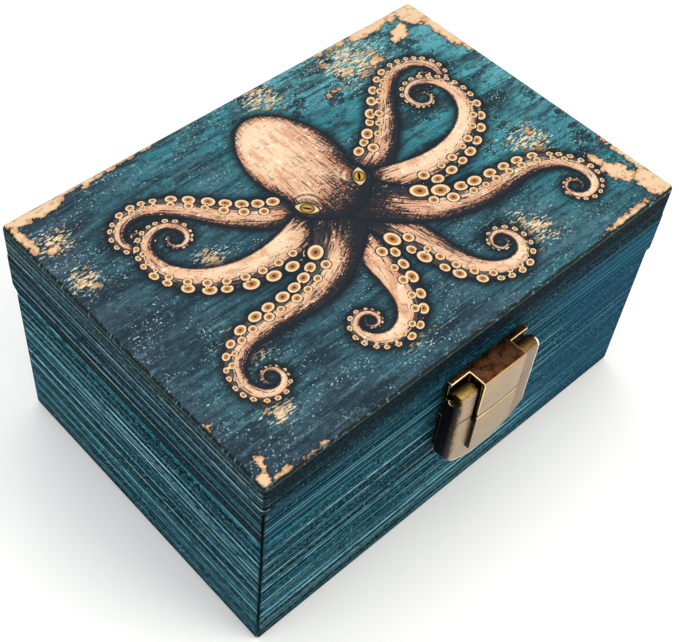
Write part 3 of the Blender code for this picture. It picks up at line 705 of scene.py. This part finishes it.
# Worn patches of the print: middle x and y, half length and half width, turn in degrees.
WORN_PATCHES = (
    (-71.0, 54.3, 11.0, 3.4, -4.0), (-55.0, 54.8, 12.0, 1.7, 0.0), (-34.0, 55.2, 9.0, 1.2, 0.0),
    (-78.3, 47.0, 1.6, 7.0, 0.0), (-78.5, -53.5, 3.6, 2.2, 35.0), (-74.0, -55.0, 6.0, 1.1, 0.0),
    (-76.0, -50.0, 1.1, 3.6, -15.0), (-79.8, -33.0, 1.8, 1.9, 0.0), (-61.5, -55.0, 2.2, 1.2, 0.0),
    (76.5, -50.0, 4.6, 6.5, 20.0), (71.5, -41.0, 3.4, 5.5, 25.0), (62.0, -54.9, 12.0, 1.8, 0.0),
    (70.0, -33.5, 2.0, 2.6, 0.0), (79.0, -38.0, 1.6, 8.0, 0.0),
    (76.5, 51.0, 5.5, 6.5, 0.0), (78.3, 36.0, 2.8, 11.0, 0.0), (60.0, 54.2, 12.0, 3.0, 0.0),
    (43.0, 54.9, 10.0, 1.6, 0.0), (66.0, 46.0, 5.0, 2.6, 30.0), (50.0, 40.0, 3.2, 1.6, 10.0),
    (30.0, 38.0, 2.2, 1.2, 0.0), (-74.0, 38.0, 1.8, 1.2, 20.0),
)
# Clusters of pale specks: middle x and y, radius.
SPECKLED = ((-73.0, 40.0, 10.0), (-74.0, 24.0, 8.0), (-56.0, -20.0, 11.0), (-20.0, -44.0, 9.0),
            (44.0, 44.0, 20.0), (10.0, 50.0, 12.0), (60.0, -16.0, 13.0), (34.0, -40.0, 12.0),
            (-44.0, 8.0, 9.0), (-62.0, -40.0, 8.0))


def wear_fields(picture, x, y):
    """How far a point lies inside a worn patch, in mm, and how thickly it is specked."""
    worn = np.full(x.shape, -FAR)
    for middle_x, middle_y, long, wide, turn in WORN_PATCHES:
        angle = math.radians(turn)
        run = (x - middle_x) * math.cos(angle) + (y - middle_y) * math.sin(angle)
        off = (y - middle_y) * math.cos(angle) - (x - middle_x) * math.sin(angle)
        worn = np.maximum(worn, (1.0 - np.hypot(run / long, off / wide)) * min(long, wide))
    picture["worn"] = worn
    specked = [np.exp(-((x - at_x) ** 2 + (y - at_y) ** 2) / size ** 2) for at_x, at_y, size in SPECKLED]
    picture["specked"] = np.maximum.reduce(specked)


def draw_picture(mesh):
    """Work the whole picture out for every point of the board and keep it on the mesh."""
    points = corners(mesh) / MM
    x = points[:, 0]
    y = points[:, 1]
    half_x, half_y = abs(points[:, :2]).max(axis=0)
    start = {"tone": 0.0, "line": FAR, "sucker": NO_SUCKER, "skin": -FAR, "under": -1.0}
    picture = {name: np.full(len(x), value) for name, value in start.items()}
    picture["flow"] = points * 1.0
    for number, arm in enumerate(ARMS):
        for side in (-1, 1):
            draw_arm(picture, x, y, arm, side, 2 * number + max(side, 0))
    draw_head(picture, x, y)
    wear_fields(picture, x, y)
    for name, values in picture.items():
        store(mesh, name, values if name == "flow" else np.clip(values, -FAR, FAR))
    left_of_corner = half_x - abs(x)
    below_corner = half_y - abs(y)
    sideways = left_of_corner < below_corner
    run = np.where(sideways, y, x)
    store(mesh, "grain", np.stack([run, points[:, 2], np.full(len(x), BOARD_SHIFT * BOARD_NUMBER)], 1))
    inset = np.empty(len(x), np.float32)
    mesh.attributes["inset"].data.foreach_get("value", inset)
    store(mesh, "edge", np.minimum(0.4 - inset, np.maximum(left_of_corner, below_corner)))


PICTURE_FIELDS = ("tone", "under", "line", "sucker", "skin", "lid", "eye", "iris", "pupil", "worn",
                  "specked", "inset")
# Strokes of the ornament, along and across its arms.
STROKES = {
    "strokes": ((6.5, 0.55, 1.0), 3.0, 0.65),
    "creases": ((0.8, 3.2, 1.0), 3.0, 0.6),
    "bloom": ((9.0, 4.5, 1.0), 2.0, 0.5),
}
PRINT = {
    "drift": ((85.0, 34.0, 50.0), 2.0, 0.5),
    "wash": ((26.0, 9.0, 50.0), 3.0, 0.6),
    "drag": ((26.0, 1.5, 50.0), 4.0, 0.65),
    "scratches": ((15.0, 0.42, 50.0), 2.0, 0.6),
    "mottle": ((2.6, 1.6, 50.0), 3.0, 0.65),
    "grit": ((0.7, 0.55, 50.0), 2.0, 0.6),
    "flecks": ((2.0, 0.55, 50.0), 3.0, 0.65),
    "blotch": ((13.0, 6.0, 50.0), 4.0, 0.65),
    "ragged": ((3.4, 2.4, 50.0), 4.0, 0.7),
}
# The ground grows warmer and paler by this much a mm towards the back right corner.
WARMER = (0.0054, 0.0046, 0.0)
PRINT_STEPS = (
    ("warmth", "ADD", "drift", "slope"),
    ("warm side", "SPAN", "slope", -0.05, 0.25),
    ("clusters", "SPAN", "blotch", 0.47, 0.57, 0.1, 1.0),
    ("pale specks", "MULTIPLY_ADD", "specked", 0.30, "flecks"),
    ("cream specks", "MULTIPLY_ADD", "specked", 0.50, "flecks"),
    ("tan specks", "MULTIPLY_ADD", "specked", 0.24, "ragged"),
    ("patch", "MULTIPLY_ADD", "ragged", 7.0, "worn"),
    ("patch", "SUBTRACT", "patch", 3.5),
    ("in patch", "GREATER_THAN", "patch", 0.1),
    ("patch grit", "MULTIPLY_ADD", "mottle", 0.65, "grit"),
    ("shadow", "MULTIPLY", "skin", 0.33),
    ("shadow", "EXPONENT", "shadow"),
    ("halo", "MULTIPLY", "skin", 0.09),
    ("halo", "EXPONENT", "halo"),
    ("stipple", "MULTIPLY", "flecks", 0.45),
    ("stipple", "MULTIPLY_ADD", "grit", 0.6, "stipple"),
    ("stipple", "MULTIPLY_ADD", "tone", -0.40, "stipple"),
    ("stipple", "ADD", "stipple", 0.30),
    ("murk flecks", "MULTIPLY_ADD", "tone", -0.10, "flecks"),
    ("dark strokes", "MULTIPLY_ADD", "tone", -0.28, "strokes"),
    ("dark strokes", "ADD", "dark strokes", 0.26),
    ("under edge", "MULTIPLY_ADD", "strokes", 1.5, "under"),
    ("outline", "MULTIPLY_ADD", "grit", 0.8, "line"),
    ("outline", "SUBTRACT", "outline", 0.4),
    ("eye opening", "LESS_THAN", "eye", 0.98),
    ("trim", "MULTIPLY_ADD", "ragged", 1.6, "inset"),
    ("trim", "SUBTRACT", "trim", 0.8),
    ("near edge", "SPAN", "inset", 2.0, 1.2),
    ("relief", "MULTIPLY_ADD", "drag", 0.5, "grit"),
)
GROUND = (
    ("warmth", 0.38, 0.74, 0.95, None, "#2a6d79"),
    ("warmth", 0.66, 0.92, 0.90, None, "#549ba2"),
    ("halo", 0.25, 0.80, 0.25, None, "#2b7c88"),
    ("halo", 0.25, 0.80, 0.50, "warm side", "#2b858d"),
    ("wash", 0.50, 0.68, 0.40, None, "#4b6673"),
    ("wash", 0.49, 0.36, 0.85, None, "#0e2733"),
    ("drag", 0.49, 0.37, 0.75, None, "#0b232f"),
    ("drag", 0.57, 0.70, 0.30, None, "#6b9ca9"),
    ("wash", 0.56, 0.66, 0.55, "warm side", "#3f969e"),
    ("blotch", 0.54, 0.58, 0.88, "warm side", "#06242c"),
    ("mottle", 0.45, 0.36, 0.60, None, "#0a212c"),
    ("mottle", 0.59, 0.70, 0.35, None, "#668d99"),
    ("scratches", 0.65, 0.71, 0.35, None, "#86b4bf"),
    ("grit", 0.44, 0.34, 0.60, None, "#091e28"),
    ("grit", 0.63, 0.67, 0.80, "clusters", "#b4d2d4"),
    ("tan specks", 0.70, 0.76, 0.75, None, "#0a1c22"),
    ("tan specks", 0.77, 0.81, 1.0, None, "#a98762"),
    ("pale specks", 0.80, 0.84, 0.85, None, "#b7ccc4"),
    ("cream specks", 0.98, 1.02, 1.0, None, "#d6c09c"),
    ("shadow", 0.12, 1.00, 0.94, None, "#030e16"),
    ("patch", -0.9, -0.1, 0.85, None, "#0a1c22"),
    ("patch", -0.05, 0.12, 1.0, None, "#b98d68"),
    ("patch", 0.25, 1.1, 0.85, None, "#d9bd98"),
    ("mottle", 0.56, 0.66, 0.5, "in patch", "#b47c50"),
    ("patch grit", 0.97, 1.05, 0.65, "in patch", "#5d4837"),
)
SKIN = (
    ("tone", 0.10, 0.42, 1.0, None, "#b27e60"),
    ("tone", 0.38, 0.68, 1.0, None, "#d2a686"),
    ("tone", 0.70, 0.97, 0.95, None, "#dfc3a2"),
    ("lid", 1.95, 1.70, 0.85, None, "#33231d"),
    ("lid", 1.60, 1.40, 1.0, None, "#d3a888"),
    ("lid", 1.22, 1.05, 0.85, None, "#6b4636"),
    ("bloom", 0.52, 0.66, 0.60, None, "#bf7a55"),
    ("bloom", 0.44, 0.32, 0.40, None, "#dfbb9c"),
    ("strokes", 0.55, 0.66, 0.75, None, "#eedcc0"),
    ("creases", 0.58, 0.67, 0.55, None, "#75483a"),
    ("mottle", 0.59, 0.68, 0.70, None, "#efdfc4"),
    ("dark strokes", 0.61, 0.67, 0.92, None, "#1d1819"),
    ("stipple", 0.64, 0.70, 0.95, None, "#111a24"),
    ("under edge", 0.85, 1.10, 0.92, None, "#111c27"),
    ("murk flecks", 0.60, 0.66, 0.85, "under", "#dcc39b"),
    ("outline", 0.75, 0.25, 0.95, None, "#0b141d"),
    ("sucker", 1.25, 1.10, 1.0, None, "#10141a"),
    ("sucker", 0.98, 0.88, 1.0, None, "#d8be97"),
    ("sucker", 0.66, 0.54, 1.0, None, "#a9703f"),
    ("sucker", 0.34, 0.20, 0.9, None, "#3a2219"),
    ("eye", 1.30, 1.14, 1.0, None, "#0c1014"),
    ("eye", 1.00, 0.93, 1.0, None, "#c9b88c"),
    ("iris", 1.00, 0.92, 1.0, "eye opening", "#4f3514"),
    ("iris", 0.88, 0.55, 1.0, "eye opening", "#b1842f"),
    ("iris", 0.50, 0.20, 0.5, "eye opening", "#cfae58"),
    ("pupil", 1.00, 0.86, 1.0, None, "#07080a"),
)
EDGING = (
    ("trim", 1.9, 1.2, 1.0, None, "#050f13"),
    ("trim", 0.9, 0.3, 0.9, None, "#163635"),
    ("flecks", 0.60, 0.64, 0.7, "near edge", "#659a99"),
    ("flecks", 0.42, 0.37, 0.9, "near edge", "#020809"),
)


def printed_top():
    """Ink on stained pine under thin matt varnish: streaked teal and navy, the pale ink of the
    ornament broken by dark stippling, and bare wood where it is worn through."""
    material, tree, shader = start_finish("Printed and worn pine")
    place = place_in_mm(tree)
    patterns = weave_patterns(tree, place, PRINT)
    flow = add(tree, "ShaderNodeAttribute", output="Vector", attribute_name="flow")
    patterns.update(weave_patterns(tree, flow, STROKES))
    for name in PICTURE_FIELDS:
        patterns[name] = add(tree, "ShaderNodeAttribute", output="Fac", attribute_name=name)
    inputs = (place, WARMER)
    patterns["slope"] = add(tree, "ShaderNodeVectorMath", inputs, "Value", operation="DOT_PRODUCT")
    derive_patterns(tree, patterns, PRINT_STEPS)
    ground = lay_coats(tree, linear("#273e4b"), patterns, GROUND)
    skin = lay_coats(tree, linear("#54392c"), patterns, SKIN)
    inputs = (patterns["skin"], -0.12, 0.12)
    drawn = add(tree, "ShaderNodeMapRange", inputs, interpolation_type="SMOOTHSTEP")
    colour = add(tree, "ShaderNodeMix", {0: drawn, 6: ground, 7: skin}, 2, data_type="RGBA")
    colour = lay_coats(tree, colour, patterns, EDGING)
    inputs = {"Height": patterns["relief"], "Strength": 0.25, "Distance": 0.08 * MM}
    bump = add(tree, "ShaderNodeBump", inputs)
    feed(tree, shader, {"Base Color": colour, "Normal": bump, "Roughness": 0.5})
    shader.inputs["Specular IOR Level"].default_value = 0.15
    return material


def dress_top():
    mesh = top_board()
    draw_picture(mesh)
    mesh.materials.append(printed_top())
    mesh.materials.append(lid_pine)
    mesh.materials.append(thin_stain)
    mesh.shade_smooth()
    facing = np.empty(len(mesh.polygons) * 3)
    mesh.polygons.foreach_get("normal", facing)
    facing = facing.reshape(-1, 3)[:, 2]
    finish = np.where(facing < -0.5, 2, np.where(facing < 0.12, 1, 0))
    mesh.polygons.foreach_set("material_index", finish.astype(np.int32))
    mesh.set_sharp_from_angle(angle=math.radians(50.0))
    piece = place_object("lid_top_printed", mesh)
    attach(piece, "lid")
    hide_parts("lid_top_board")


dress_top()


# Hinges: two small butt hinges let into the rims, stamped from brass and antiqued, so they are brown
# in the hollows and bright along the edges that rub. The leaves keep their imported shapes, and get
# their edges eased.
BRONZE = {
    "cloud": ((2.6, 2.6, 2.6), 3.0, 0.6),
    "fleck": ((0.55, 0.55, 0.55), 2.0, 0.6),
    "brush": ((7.0, 0.5, 0.5), 3.0, 0.6),
}
# The latch's faces, in mm: where the lever's right arm and its ears begin, how far forward its front
# lies, and where the tongue ends in a seam that bows down from the middle.
RIGHT_ARM = 8.6
EAR_HEIGHT = 60.0
LATCH_FRONT = -61.5
SEAM_HEIGHT = 55.1
SEAM_BOW = -0.0085
TURNED_TO = ("front", "flank", "crown", "rim")
BRONZE_STEPS = (
    ("front", "MULTIPLY_ADD", "fleck", 0.4, "front"),
    ("flank", "MULTIPLY_ADD", "fleck", 0.4, "flank"),
    ("crown", "MULTIPLY_ADD", "fleck", 0.4, "crown"),
    ("rim", "MULTIPLY_ADD", "fleck", 0.4, "rim"),
    ("brushed front", "SPAN", "front", 0.95, 1.05),
    ("ragged right", "MULTIPLY_ADD", "cloud", -4.0, "right"),
    ("ragged right", "MULTIPLY_ADD", "fleck", -4.0, "ragged right"),
    ("right arm", "GREATER_THAN", "right", RIGHT_ARM),
    ("ear", "GREATER_THAN", "up", EAR_HEIGHT),
    ("right ear", "MULTIPLY", "ear", "right arm"),
    ("seam", "MULTIPLY", "right", "right"),
    ("seam", "MULTIPLY_ADD", "seam", SEAM_BOW, "up"),
    ("latch front", "LESS_THAN", "forward", LATCH_FRONT),
    ("tongue end", "GREATER_THAN", "seam", SEAM_HEIGHT),
    ("tongue end", "MULTIPLY", "tongue end", "latch front"),
    ("panel", "LESS_THAN", "seam", SEAM_HEIGHT),
    ("panel", "MULTIPLY", "panel", "latch front"),
)


def antique_bronze(name, ground, coats, roughness):
    """Blackened and rubbed brass: flecks of dark patina on a soft metal sheen. The patina stays on
    the flanks and tops and ends in flecks where a face turns to the front and was brushed. Where a
    table asks for it, the flanks are also darkened with painted shade and flecked with painted glints."""
    material, tree, shader = start_finish(name)
    place = place_in_mm(tree)
    patterns = weave_patterns(tree, place, BRONZE)
    split = add(tree, "ShaderNodeSeparateXYZ", (place,)).node.outputs
    patterns["right"] = split["X"]
    patterns["forward"] = split["Y"]
    patterns["up"] = split["Z"]
    for turned in TURNED_TO:
        patterns[turned] = add(tree, "ShaderNodeAttribute", output="Fac", attribute_name=turned)
    derive_patterns(tree, patterns, BRONZE_STEPS)
    colour = lay_coats(tree, linear(ground), patterns, coats)
    inputs = {"Height": patterns["fleck"], "Strength": 0.12, "Distance": 0.05 * MM}
    bump = add(tree, "ShaderNodeBump", inputs)
    gloss = (patterns["cloud"], 0.35, 0.65, roughness + 0.08, roughness)
    gloss = add(tree, "ShaderNodeMapRange", gloss)
    feed(tree, shader, {"Base Color": colour, "Normal": bump, "Roughness": gloss, "Metallic": 1.0})
    return material


PATINA_AND_SHADE_COATS = (
    ("cloud", 0.40, 0.65, 0.8, None, "#2c150c"),
    ("fleck", 0.60, 0.70, 0.5, None, "#8a6642"),
    # Painted shade: faces that turn sideways are darkened nearly to black over their patina, and the pale
    # flecks on them are painted glints.
    ("flank", 0.8, 1.0, 0.94, None, "#0a0705"),
    ("fleck", 0.66, 0.72, 0.6, "flank", "#a89c86"),
    ("front", 0.55, 0.80, 0.9, None, "#b48f52"),
    ("front", 0.95, 1.05, 1.0, None, "#ad967a"),
    ("cloud", 0.50, 0.70, 0.4, "brushed front", "#8f7960"),
    ("brush", 0.56, 0.70, 0.5, "brushed front", "#cdbb9c"),
    ("fleck", 0.66, 0.74, 0.25, "brushed front", "#7d6650"),
    # Painted shade on the tongue's lower end, along the seam to the panel below.
    ("seam", 56.2, 55.7, 0.92, "tongue end", "#120a07"),
)
# The lever: olive gold on the ears, nearly black with painted shade in the crevices and down its left
# border, where there is patina too, the right arm a duller rose with a painted shadow beside the
# tongue, and a painted highlight making the rounded border nearly white on the right and below.
LEVER_COATS = PATINA_AND_SHADE_COATS + (
    ("right", 8.7, 9.2, 0.75, "right arm", "#88725f"),
    # Painted shadow on the right arm beside the tongue's edge.
    ("right", 9.5, 8.9, 0.92, "right arm", "#0d0806"),
    ("crown", 0.75, 0.95, 0.90, "ear", "#7f6c3a"),
    ("crown", 0.75, 0.95, 0.70, "right ear", "#453019"),
    ("fleck", 0.54, 0.62, 0.7, "crown", "#3a2b16"),
    # Painted highlight: the rounded border that faces right or down, nearly white.
    ("rim", 0.8, 1.0, 1.0, None, "#fffaf0"),
    # Patina with painted shade down the lever's left border, darkest at the edge.
    ("ragged right", -17.6, -19.0, 0.7, None, "#8d6f3c"),
    ("ragged right", -19.0, -19.4, 0.97, None, "#050303"),
    # Painted glints: pale flecks on the lever's flanks.
    ("fleck", 0.68, 0.72, 0.5, "flank", "#b9ad98"),
)
# The rubbed edge is darkened with painted shade on the tongue's lower end, in the seam, and down the
# panel's left side, which faces away from the light. On the panel it is duller right of its middle.
RUBBED_AND_SHADE_COATS = (
    ("fleck", 0.58, 0.70, 0.5, None, "#b58e52"),
    ("seam", 56.9, 56.5, 0.95, "tongue end", "#0c0705"),
    ("right", -6.0, -2.0, 0.55, "panel", "#6d583c"),
    ("right", -8.1, -8.3, 0.95, "panel", "#0c0705"),
    ("right", -8.7, -8.9, 0.90, "panel", "#cbb894"),
)
bronze = antique_bronze("Antique bronze", "#5c3b27", PATINA_AND_SHADE_COATS, 0.38)
lever_bronze = antique_bronze("Antique bronze, handled, with painted light and shade", "#5c3b27", LEVER_COATS, 0.38)
rubbed_and_shaded_bronze = antique_bronze("Antique bronze, rubbed edge and painted shade", "#e8cf98", RUBBED_AND_SHADE_COATS, 0.3)


METAL_REACH = 0.03
NO_FRONT = -1000.0


def eased(node, name, body, width, brushed_front=NO_FRONT, finish=bronze):
    """A packed metal shape with its sharp edges eased, dark all over and bright along those edges.
    What lies forward of brushed_front is brushed where it faces the front. The rim is the rounded
    border that leans forward and faces right or down."""
    mesh = merged_copy(node, METAL_REACH)
    mesh.materials.clear()
    mesh.materials.append(finish)
    mesh.materials.append(rubbed_and_shaded_bronze)
    facing = {turned: [] for turned in TURNED_TO}
    for face in mesh.polygons:
        reached = face.center.y < brushed_front * MM
        normal = face.normal
        leans = 0.1 < -normal.y < 0.98
        borders = normal.x > 0.15 or normal.z < -0.15 and normal.x > -0.2
        facing["front"].append(max(-normal.y, 0.0) if reached else 0.0)
        facing["flank"].append(abs(normal.x))
        facing["crown"].append(max(normal.z, 0.0))
        facing["rim"].append(float(leans and borders))
        face.material_index = 0
    for turned, values in facing.items():
        mesh.attributes.new(turned, "FLOAT", "FACE").data.foreach_set("value", values)
    item = place_object("raw_metal", mesh)
    ease_edges = item.modifiers.new("ease", "BEVEL")
    ease_edges.width = width * MM
    ease_edges.segments = 3
    ease_edges.limit_method = "ANGLE"
    ease_edges.angle_limit = math.radians(40.0)
    ease_edges.material = 1
    ease_edges.use_clamp_overlap = False
    piece = as_plain_mesh(item, name, 60.0)
    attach(piece, body)
    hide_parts(node)


for side in ("left", "right"):
    eased("hinge_" + side + "_body_leaf", "hinge_" + side + "_lower_leaf", "box", 0.12)
    eased("hinge_" + side + "_lid_leaf", "hinge_" + side + "_upper_leaf", "lid", 0.12)
    refinish("hinge_" + side + "_pin", rubbed_and_shaded_bronze)


# Screws and nails: turned brass. Countersunk slotted screws hold the hinge leaves to the rims, and
# round-headed nails hold the latch plates to the front boards, behind the lever. Each stands where
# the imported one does, and every slot has stopped at its own angle.
SHANK_RINGS = 34
ROUND_FACETS = 24
SLOT_SEED = 4
SCREW_SIZES = {"Head radius": 1.3, "Head height": 0.6, "Shank radius": 0.6, "Point length": 1.2}
NAIL_SIZES = {"Head radius": 1.2, "Head height": 0.6, "Shank radius": 0.45, "Point length": 0.45}
SLOT_SIZES = {"Slot width": 0.34, "Slot depth": 0.32}
SHARP_POINT = 0.1


def fastener_tree(name, slotted):
    """Geometry Nodes tree that stands a turned screw or nail at each point, its head outwards: flat
    with a slot, or round."""
    sizes = ("Length", "Head radius", "Head height", "Shank radius", "Point length", "Slot width",
             "Slot depth")
    sockets = {"Places": "Geometry", **dict.fromkeys(sizes, "Float"), "Slot seed": "Int",
               "Finish": "Material"}
    tree, given = start_tree(name, sockets, "Fasteners")
    below = add(tree, "ShaderNodeMath", (0.0, given["Length"]), operation="SUBTRACT")
    end = add(tree, "ShaderNodeCombineXYZ", {"Z": below})
    axis = add(tree, "GeometryNodeCurvePrimitiveLine", {"Start": (0.0, 0.0, 0.0), "End": end})
    axis = add(tree, "GeometryNodeResampleCurve", {"Curve": axis, "Count": SHANK_RINGS})
    depth = add(tree, "GeometryNodeSplineParameter", output="Length")
    to_point = add(tree, "ShaderNodeMath", (given["Length"], depth), operation="SUBTRACT")
    inputs = (to_point, 0.0, given["Point length"], SHARP_POINT * MM, given["Shank radius"])
    tip = add(tree, "ShaderNodeMapRange", inputs)
    sunk = (depth, 0.0, given["Head height"], given["Head radius"], given["Shank radius"])
    if slotted:
        head = add(tree, "ShaderNodeMapRange", sunk)
    else:
        share = add(tree, "ShaderNodeMapRange", (depth, 0.0, given["Head height"], 0.15, 1.0))
        bulge = add(tree, "ShaderNodeMath", (share,), operation="SQRT")
        head = add(tree, "ShaderNodeMath", (bulge, given["Head radius"]), operation="MULTIPLY")
        above = add(tree, "ShaderNodeMath", (depth, given["Head height"]), operation="LESS_THAN")
        head = add(tree, "ShaderNodeMath", (head, above), operation="MULTIPLY")
    radius = add(tree, "ShaderNodeMath", (head, tip), operation="MAXIMUM")
    circle = add(tree, "GeometryNodeCurvePrimitiveCircle", {"Resolution": ROUND_FACETS, "Radius": 1.0})
    inputs = {"Curve": axis, "Profile Curve": circle, "Scale": radius, "Fill Caps": True}
    shape = add(tree, "GeometryNodeCurveToMesh", inputs)
    if slotted:
        across = add(tree, "ShaderNodeMath", (given["Head radius"], 2.4), operation="MULTIPLY")
        sides = add(tree, "ShaderNodeMath", (given["Slot depth"], 2.0), operation="MULTIPLY")
        size = add(tree, "ShaderNodeCombineXYZ", (across, given["Slot width"], sides))
        slot = add(tree, "GeometryNodeMeshCube", {"Size": size})
        inputs = {"Mesh 1": shape, "Mesh 2": slot}
        shape = add(tree, "GeometryNodeMeshBoolean", inputs, operation="DIFFERENCE")
    way = add(tree, "GeometryNodeInputNamedAttribute", {"Name": "way"}, data_type="FLOAT_VECTOR")
    inputs = {2: 0.0, 3: math.pi, "Seed": given["Slot seed"]}
    turned = add(tree, "FunctionNodeRandomValue", inputs, 1, data_type="FLOAT")
    turned = add(tree, "ShaderNodeCombineXYZ", {"Z": turned})
    facing = add(tree, "FunctionNodeAlignRotationToVector", {"Rotation": turned, "Vector": way}, axis="Z")
    inputs = {"Points": given["Places"], "Instance": shape, "Rotation": facing}
    placed = add(tree, "GeometryNodeInstanceOnPoints", inputs)
    whole = add(tree, "GeometryNodeRealizeInstances", (placed,))
    inputs = {"Geometry": whole, "Material": given["Finish"]}
    finished = add(tree, "GeometryNodeSetMaterial", inputs)
    add(tree, "NodeGroupOutput", (finished,))
    return tree


def stand_fasteners(piece_name, body, replaced, way, tree, sizes):
    """One piece from every screw or nail of a body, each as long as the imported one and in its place."""
    way = np.array(way)
    boxes = np.array([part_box(node) for node in replaced])
    lengths = (boxes[:, 1] - boxes[:, 0]) @ abs(way)
    places = boxes.mean(axis=1) + way * lengths[:, None] / 2
    mesh = bpy.data.meshes.new(piece_name)
    mesh.from_pydata(places.tolist(), [], [])
    store(mesh, "way", np.tile(way, (len(places), 1)))
    raw = place_object("fastener_places", mesh)
    values = {name: size * MM for name, size in {**sizes, **SLOT_SIZES}.items()}
    values["Length"] = float(lengths[0])
    run_tree(raw, tree, {"Slot seed": SLOT_SEED, "Finish": turned_brass, **values})
    piece = as_plain_mesh(raw, piece_name)
    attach(piece, body)
    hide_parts(*replaced)


TURNED_COATS = (
    ("cloud", 0.45, 0.65, 0.5, None, "#6f5632"),
    ("fleck", 0.58, 0.70, 0.5, None, "#d9bf85"),
)
turned_brass = antique_bronze("Turned brass", "#a98c54", TURNED_COATS, 0.3)
slotted_screws = fastener_tree("Slotted screws", True)
round_nails = fastener_tree("Round nails", False)
UP = (0.0, 0.0, 1.0)
DOWN = (0.0, 0.0, -1.0)
FORWARD = (0.0, -1.0, 0.0)
for body, board, way in (("box", "body", UP), ("lid", "lid", DOWN)):
    screws = [name for name in nodes if f"_{board}_screw" in name]
    stand_fasteners(board + "_hinge_screws", body, sorted(screws), way, slotted_screws, SCREW_SIZES)
    nails = [name for name in nodes if f"_{board}_nail" in name]
    stand_fasteners(board + "_latch_nails", body, sorted(nails), FORWARD, round_nails, NAIL_SIZES)


# Latch: two plates nailed to the front, a tongue bent out from the upper one, and a lever that turns
# on a pin through the tongue's lugs. All are antiqued, then brushed bright on their front faces only.
eased("latch_lid_plate", "latch_tongue", "lid", 0.25, LATCH_FRONT)
eased("latch_body_plate", "latch_keeper", "box", 0.25)
eased("latch_lever", "latch_lever_plate", "lever", 0.2, LATCH_FRONT, lever_bronze)
refinish("latch_pin", bronze)


# Studio: a plain pale floor, soft light from the front and right, and the camera at the photograph's
# viewing angle, worked out from the corners of the box.
FLOOR_HALF = 3.0
FLOOR_DROP = 0.2


def pale_floor():
    material, tree, shader = start_finish("Pale matt floor")
    feed(tree, shader, {"Base Color": linear("#f6f6f4"), "Roughness": 0.9})
    ways = ((-1, -1), (1, -1), (1, 1), (-1, 1))
    points = [(x * FLOOR_HALF, y * FLOOR_HALF, -FLOOR_DROP * MM) for x, y in ways]
    mesh = bpy.data.meshes.new("floor")
    mesh.from_pydata(points, [], [(0, 1, 2, 3)])
    mesh.materials.append(material)
    place_object("floor", mesh)


pale_floor()
# Name, place, size in metres, power in watts, colour.
LIGHTS = (
    ("key", (0.55, -0.95, 1.0), 0.9, 10.0, "#fffaf2"),
    ("fill", (-1.1, 0.1, 0.8), 0.9, 3.0, "#f6f9ff"),
    ("top", (0.0, 0.35, 1.3), 1.0, 5.5, "#ffffff"),
)
AIM = Vector((0.0, 0.0, 0.04))
for name, place, size, power, colour in LIGHTS:
    light = bpy.data.lights.new(name, "AREA")
    light.shape = "SQUARE"
    light.size = size
    light.energy = power
    light.color = linear(colour)[:3]
    lamp = place_object(name, light)
    lamp.location = place
    lamp.rotation_euler = (AIM - Vector(place)).to_track_quat("-Z", "Y").to_euler()

world = bpy.data.worlds.new("Studio")
world.use_nodes = True
backdrop = world.node_tree.nodes["Background"].inputs
backdrop["Color"].default_value = linear("#ffffff")
backdrop["Strength"].default_value = 0.8
bpy.context.scene.world = world
bpy.context.scene.view_settings.view_transform = "Standard"

CAMERA_PLACE = Vector((-0.18568, -0.16641, 0.34018))
CAMERA_RIGHT = Vector((0.74064, -0.66996, 0.05110))
CAMERA_FORWARD = Vector((0.45161, 0.44006, -0.77614))
IMAGE_SIZE = (679, 642)
FOCAL_PIXELS = 1251.07
CENTRE_PIXEL = (303.32, 313.09)
SENSOR_WIDTH = 36.0
camera = bpy.data.cameras.new("camera")
camera.sensor_width = SENSOR_WIDTH
camera.lens = FOCAL_PIXELS / IMAGE_SIZE[0] * SENSOR_WIDTH
camera.shift_x = (IMAGE_SIZE[0] / 2 - CENTRE_PIXEL[0]) / IMAGE_SIZE[0]
camera.shift_y = (CENTRE_PIXEL[1] - IMAGE_SIZE[1] / 2) / IMAGE_SIZE[0]
camera.clip_start = 0.01
viewer = place_object("camera", camera)
back = -CAMERA_FORWARD.normalized()
right = (CAMERA_RIGHT - CAMERA_RIGHT.project(back)).normalized()
turned = Matrix((right, back.cross(right), back)).transposed().to_4x4()
viewer.matrix_world = Matrix.Translation(CAMERA_PLACE) @ turned
bpy.context.scene.camera = viewer
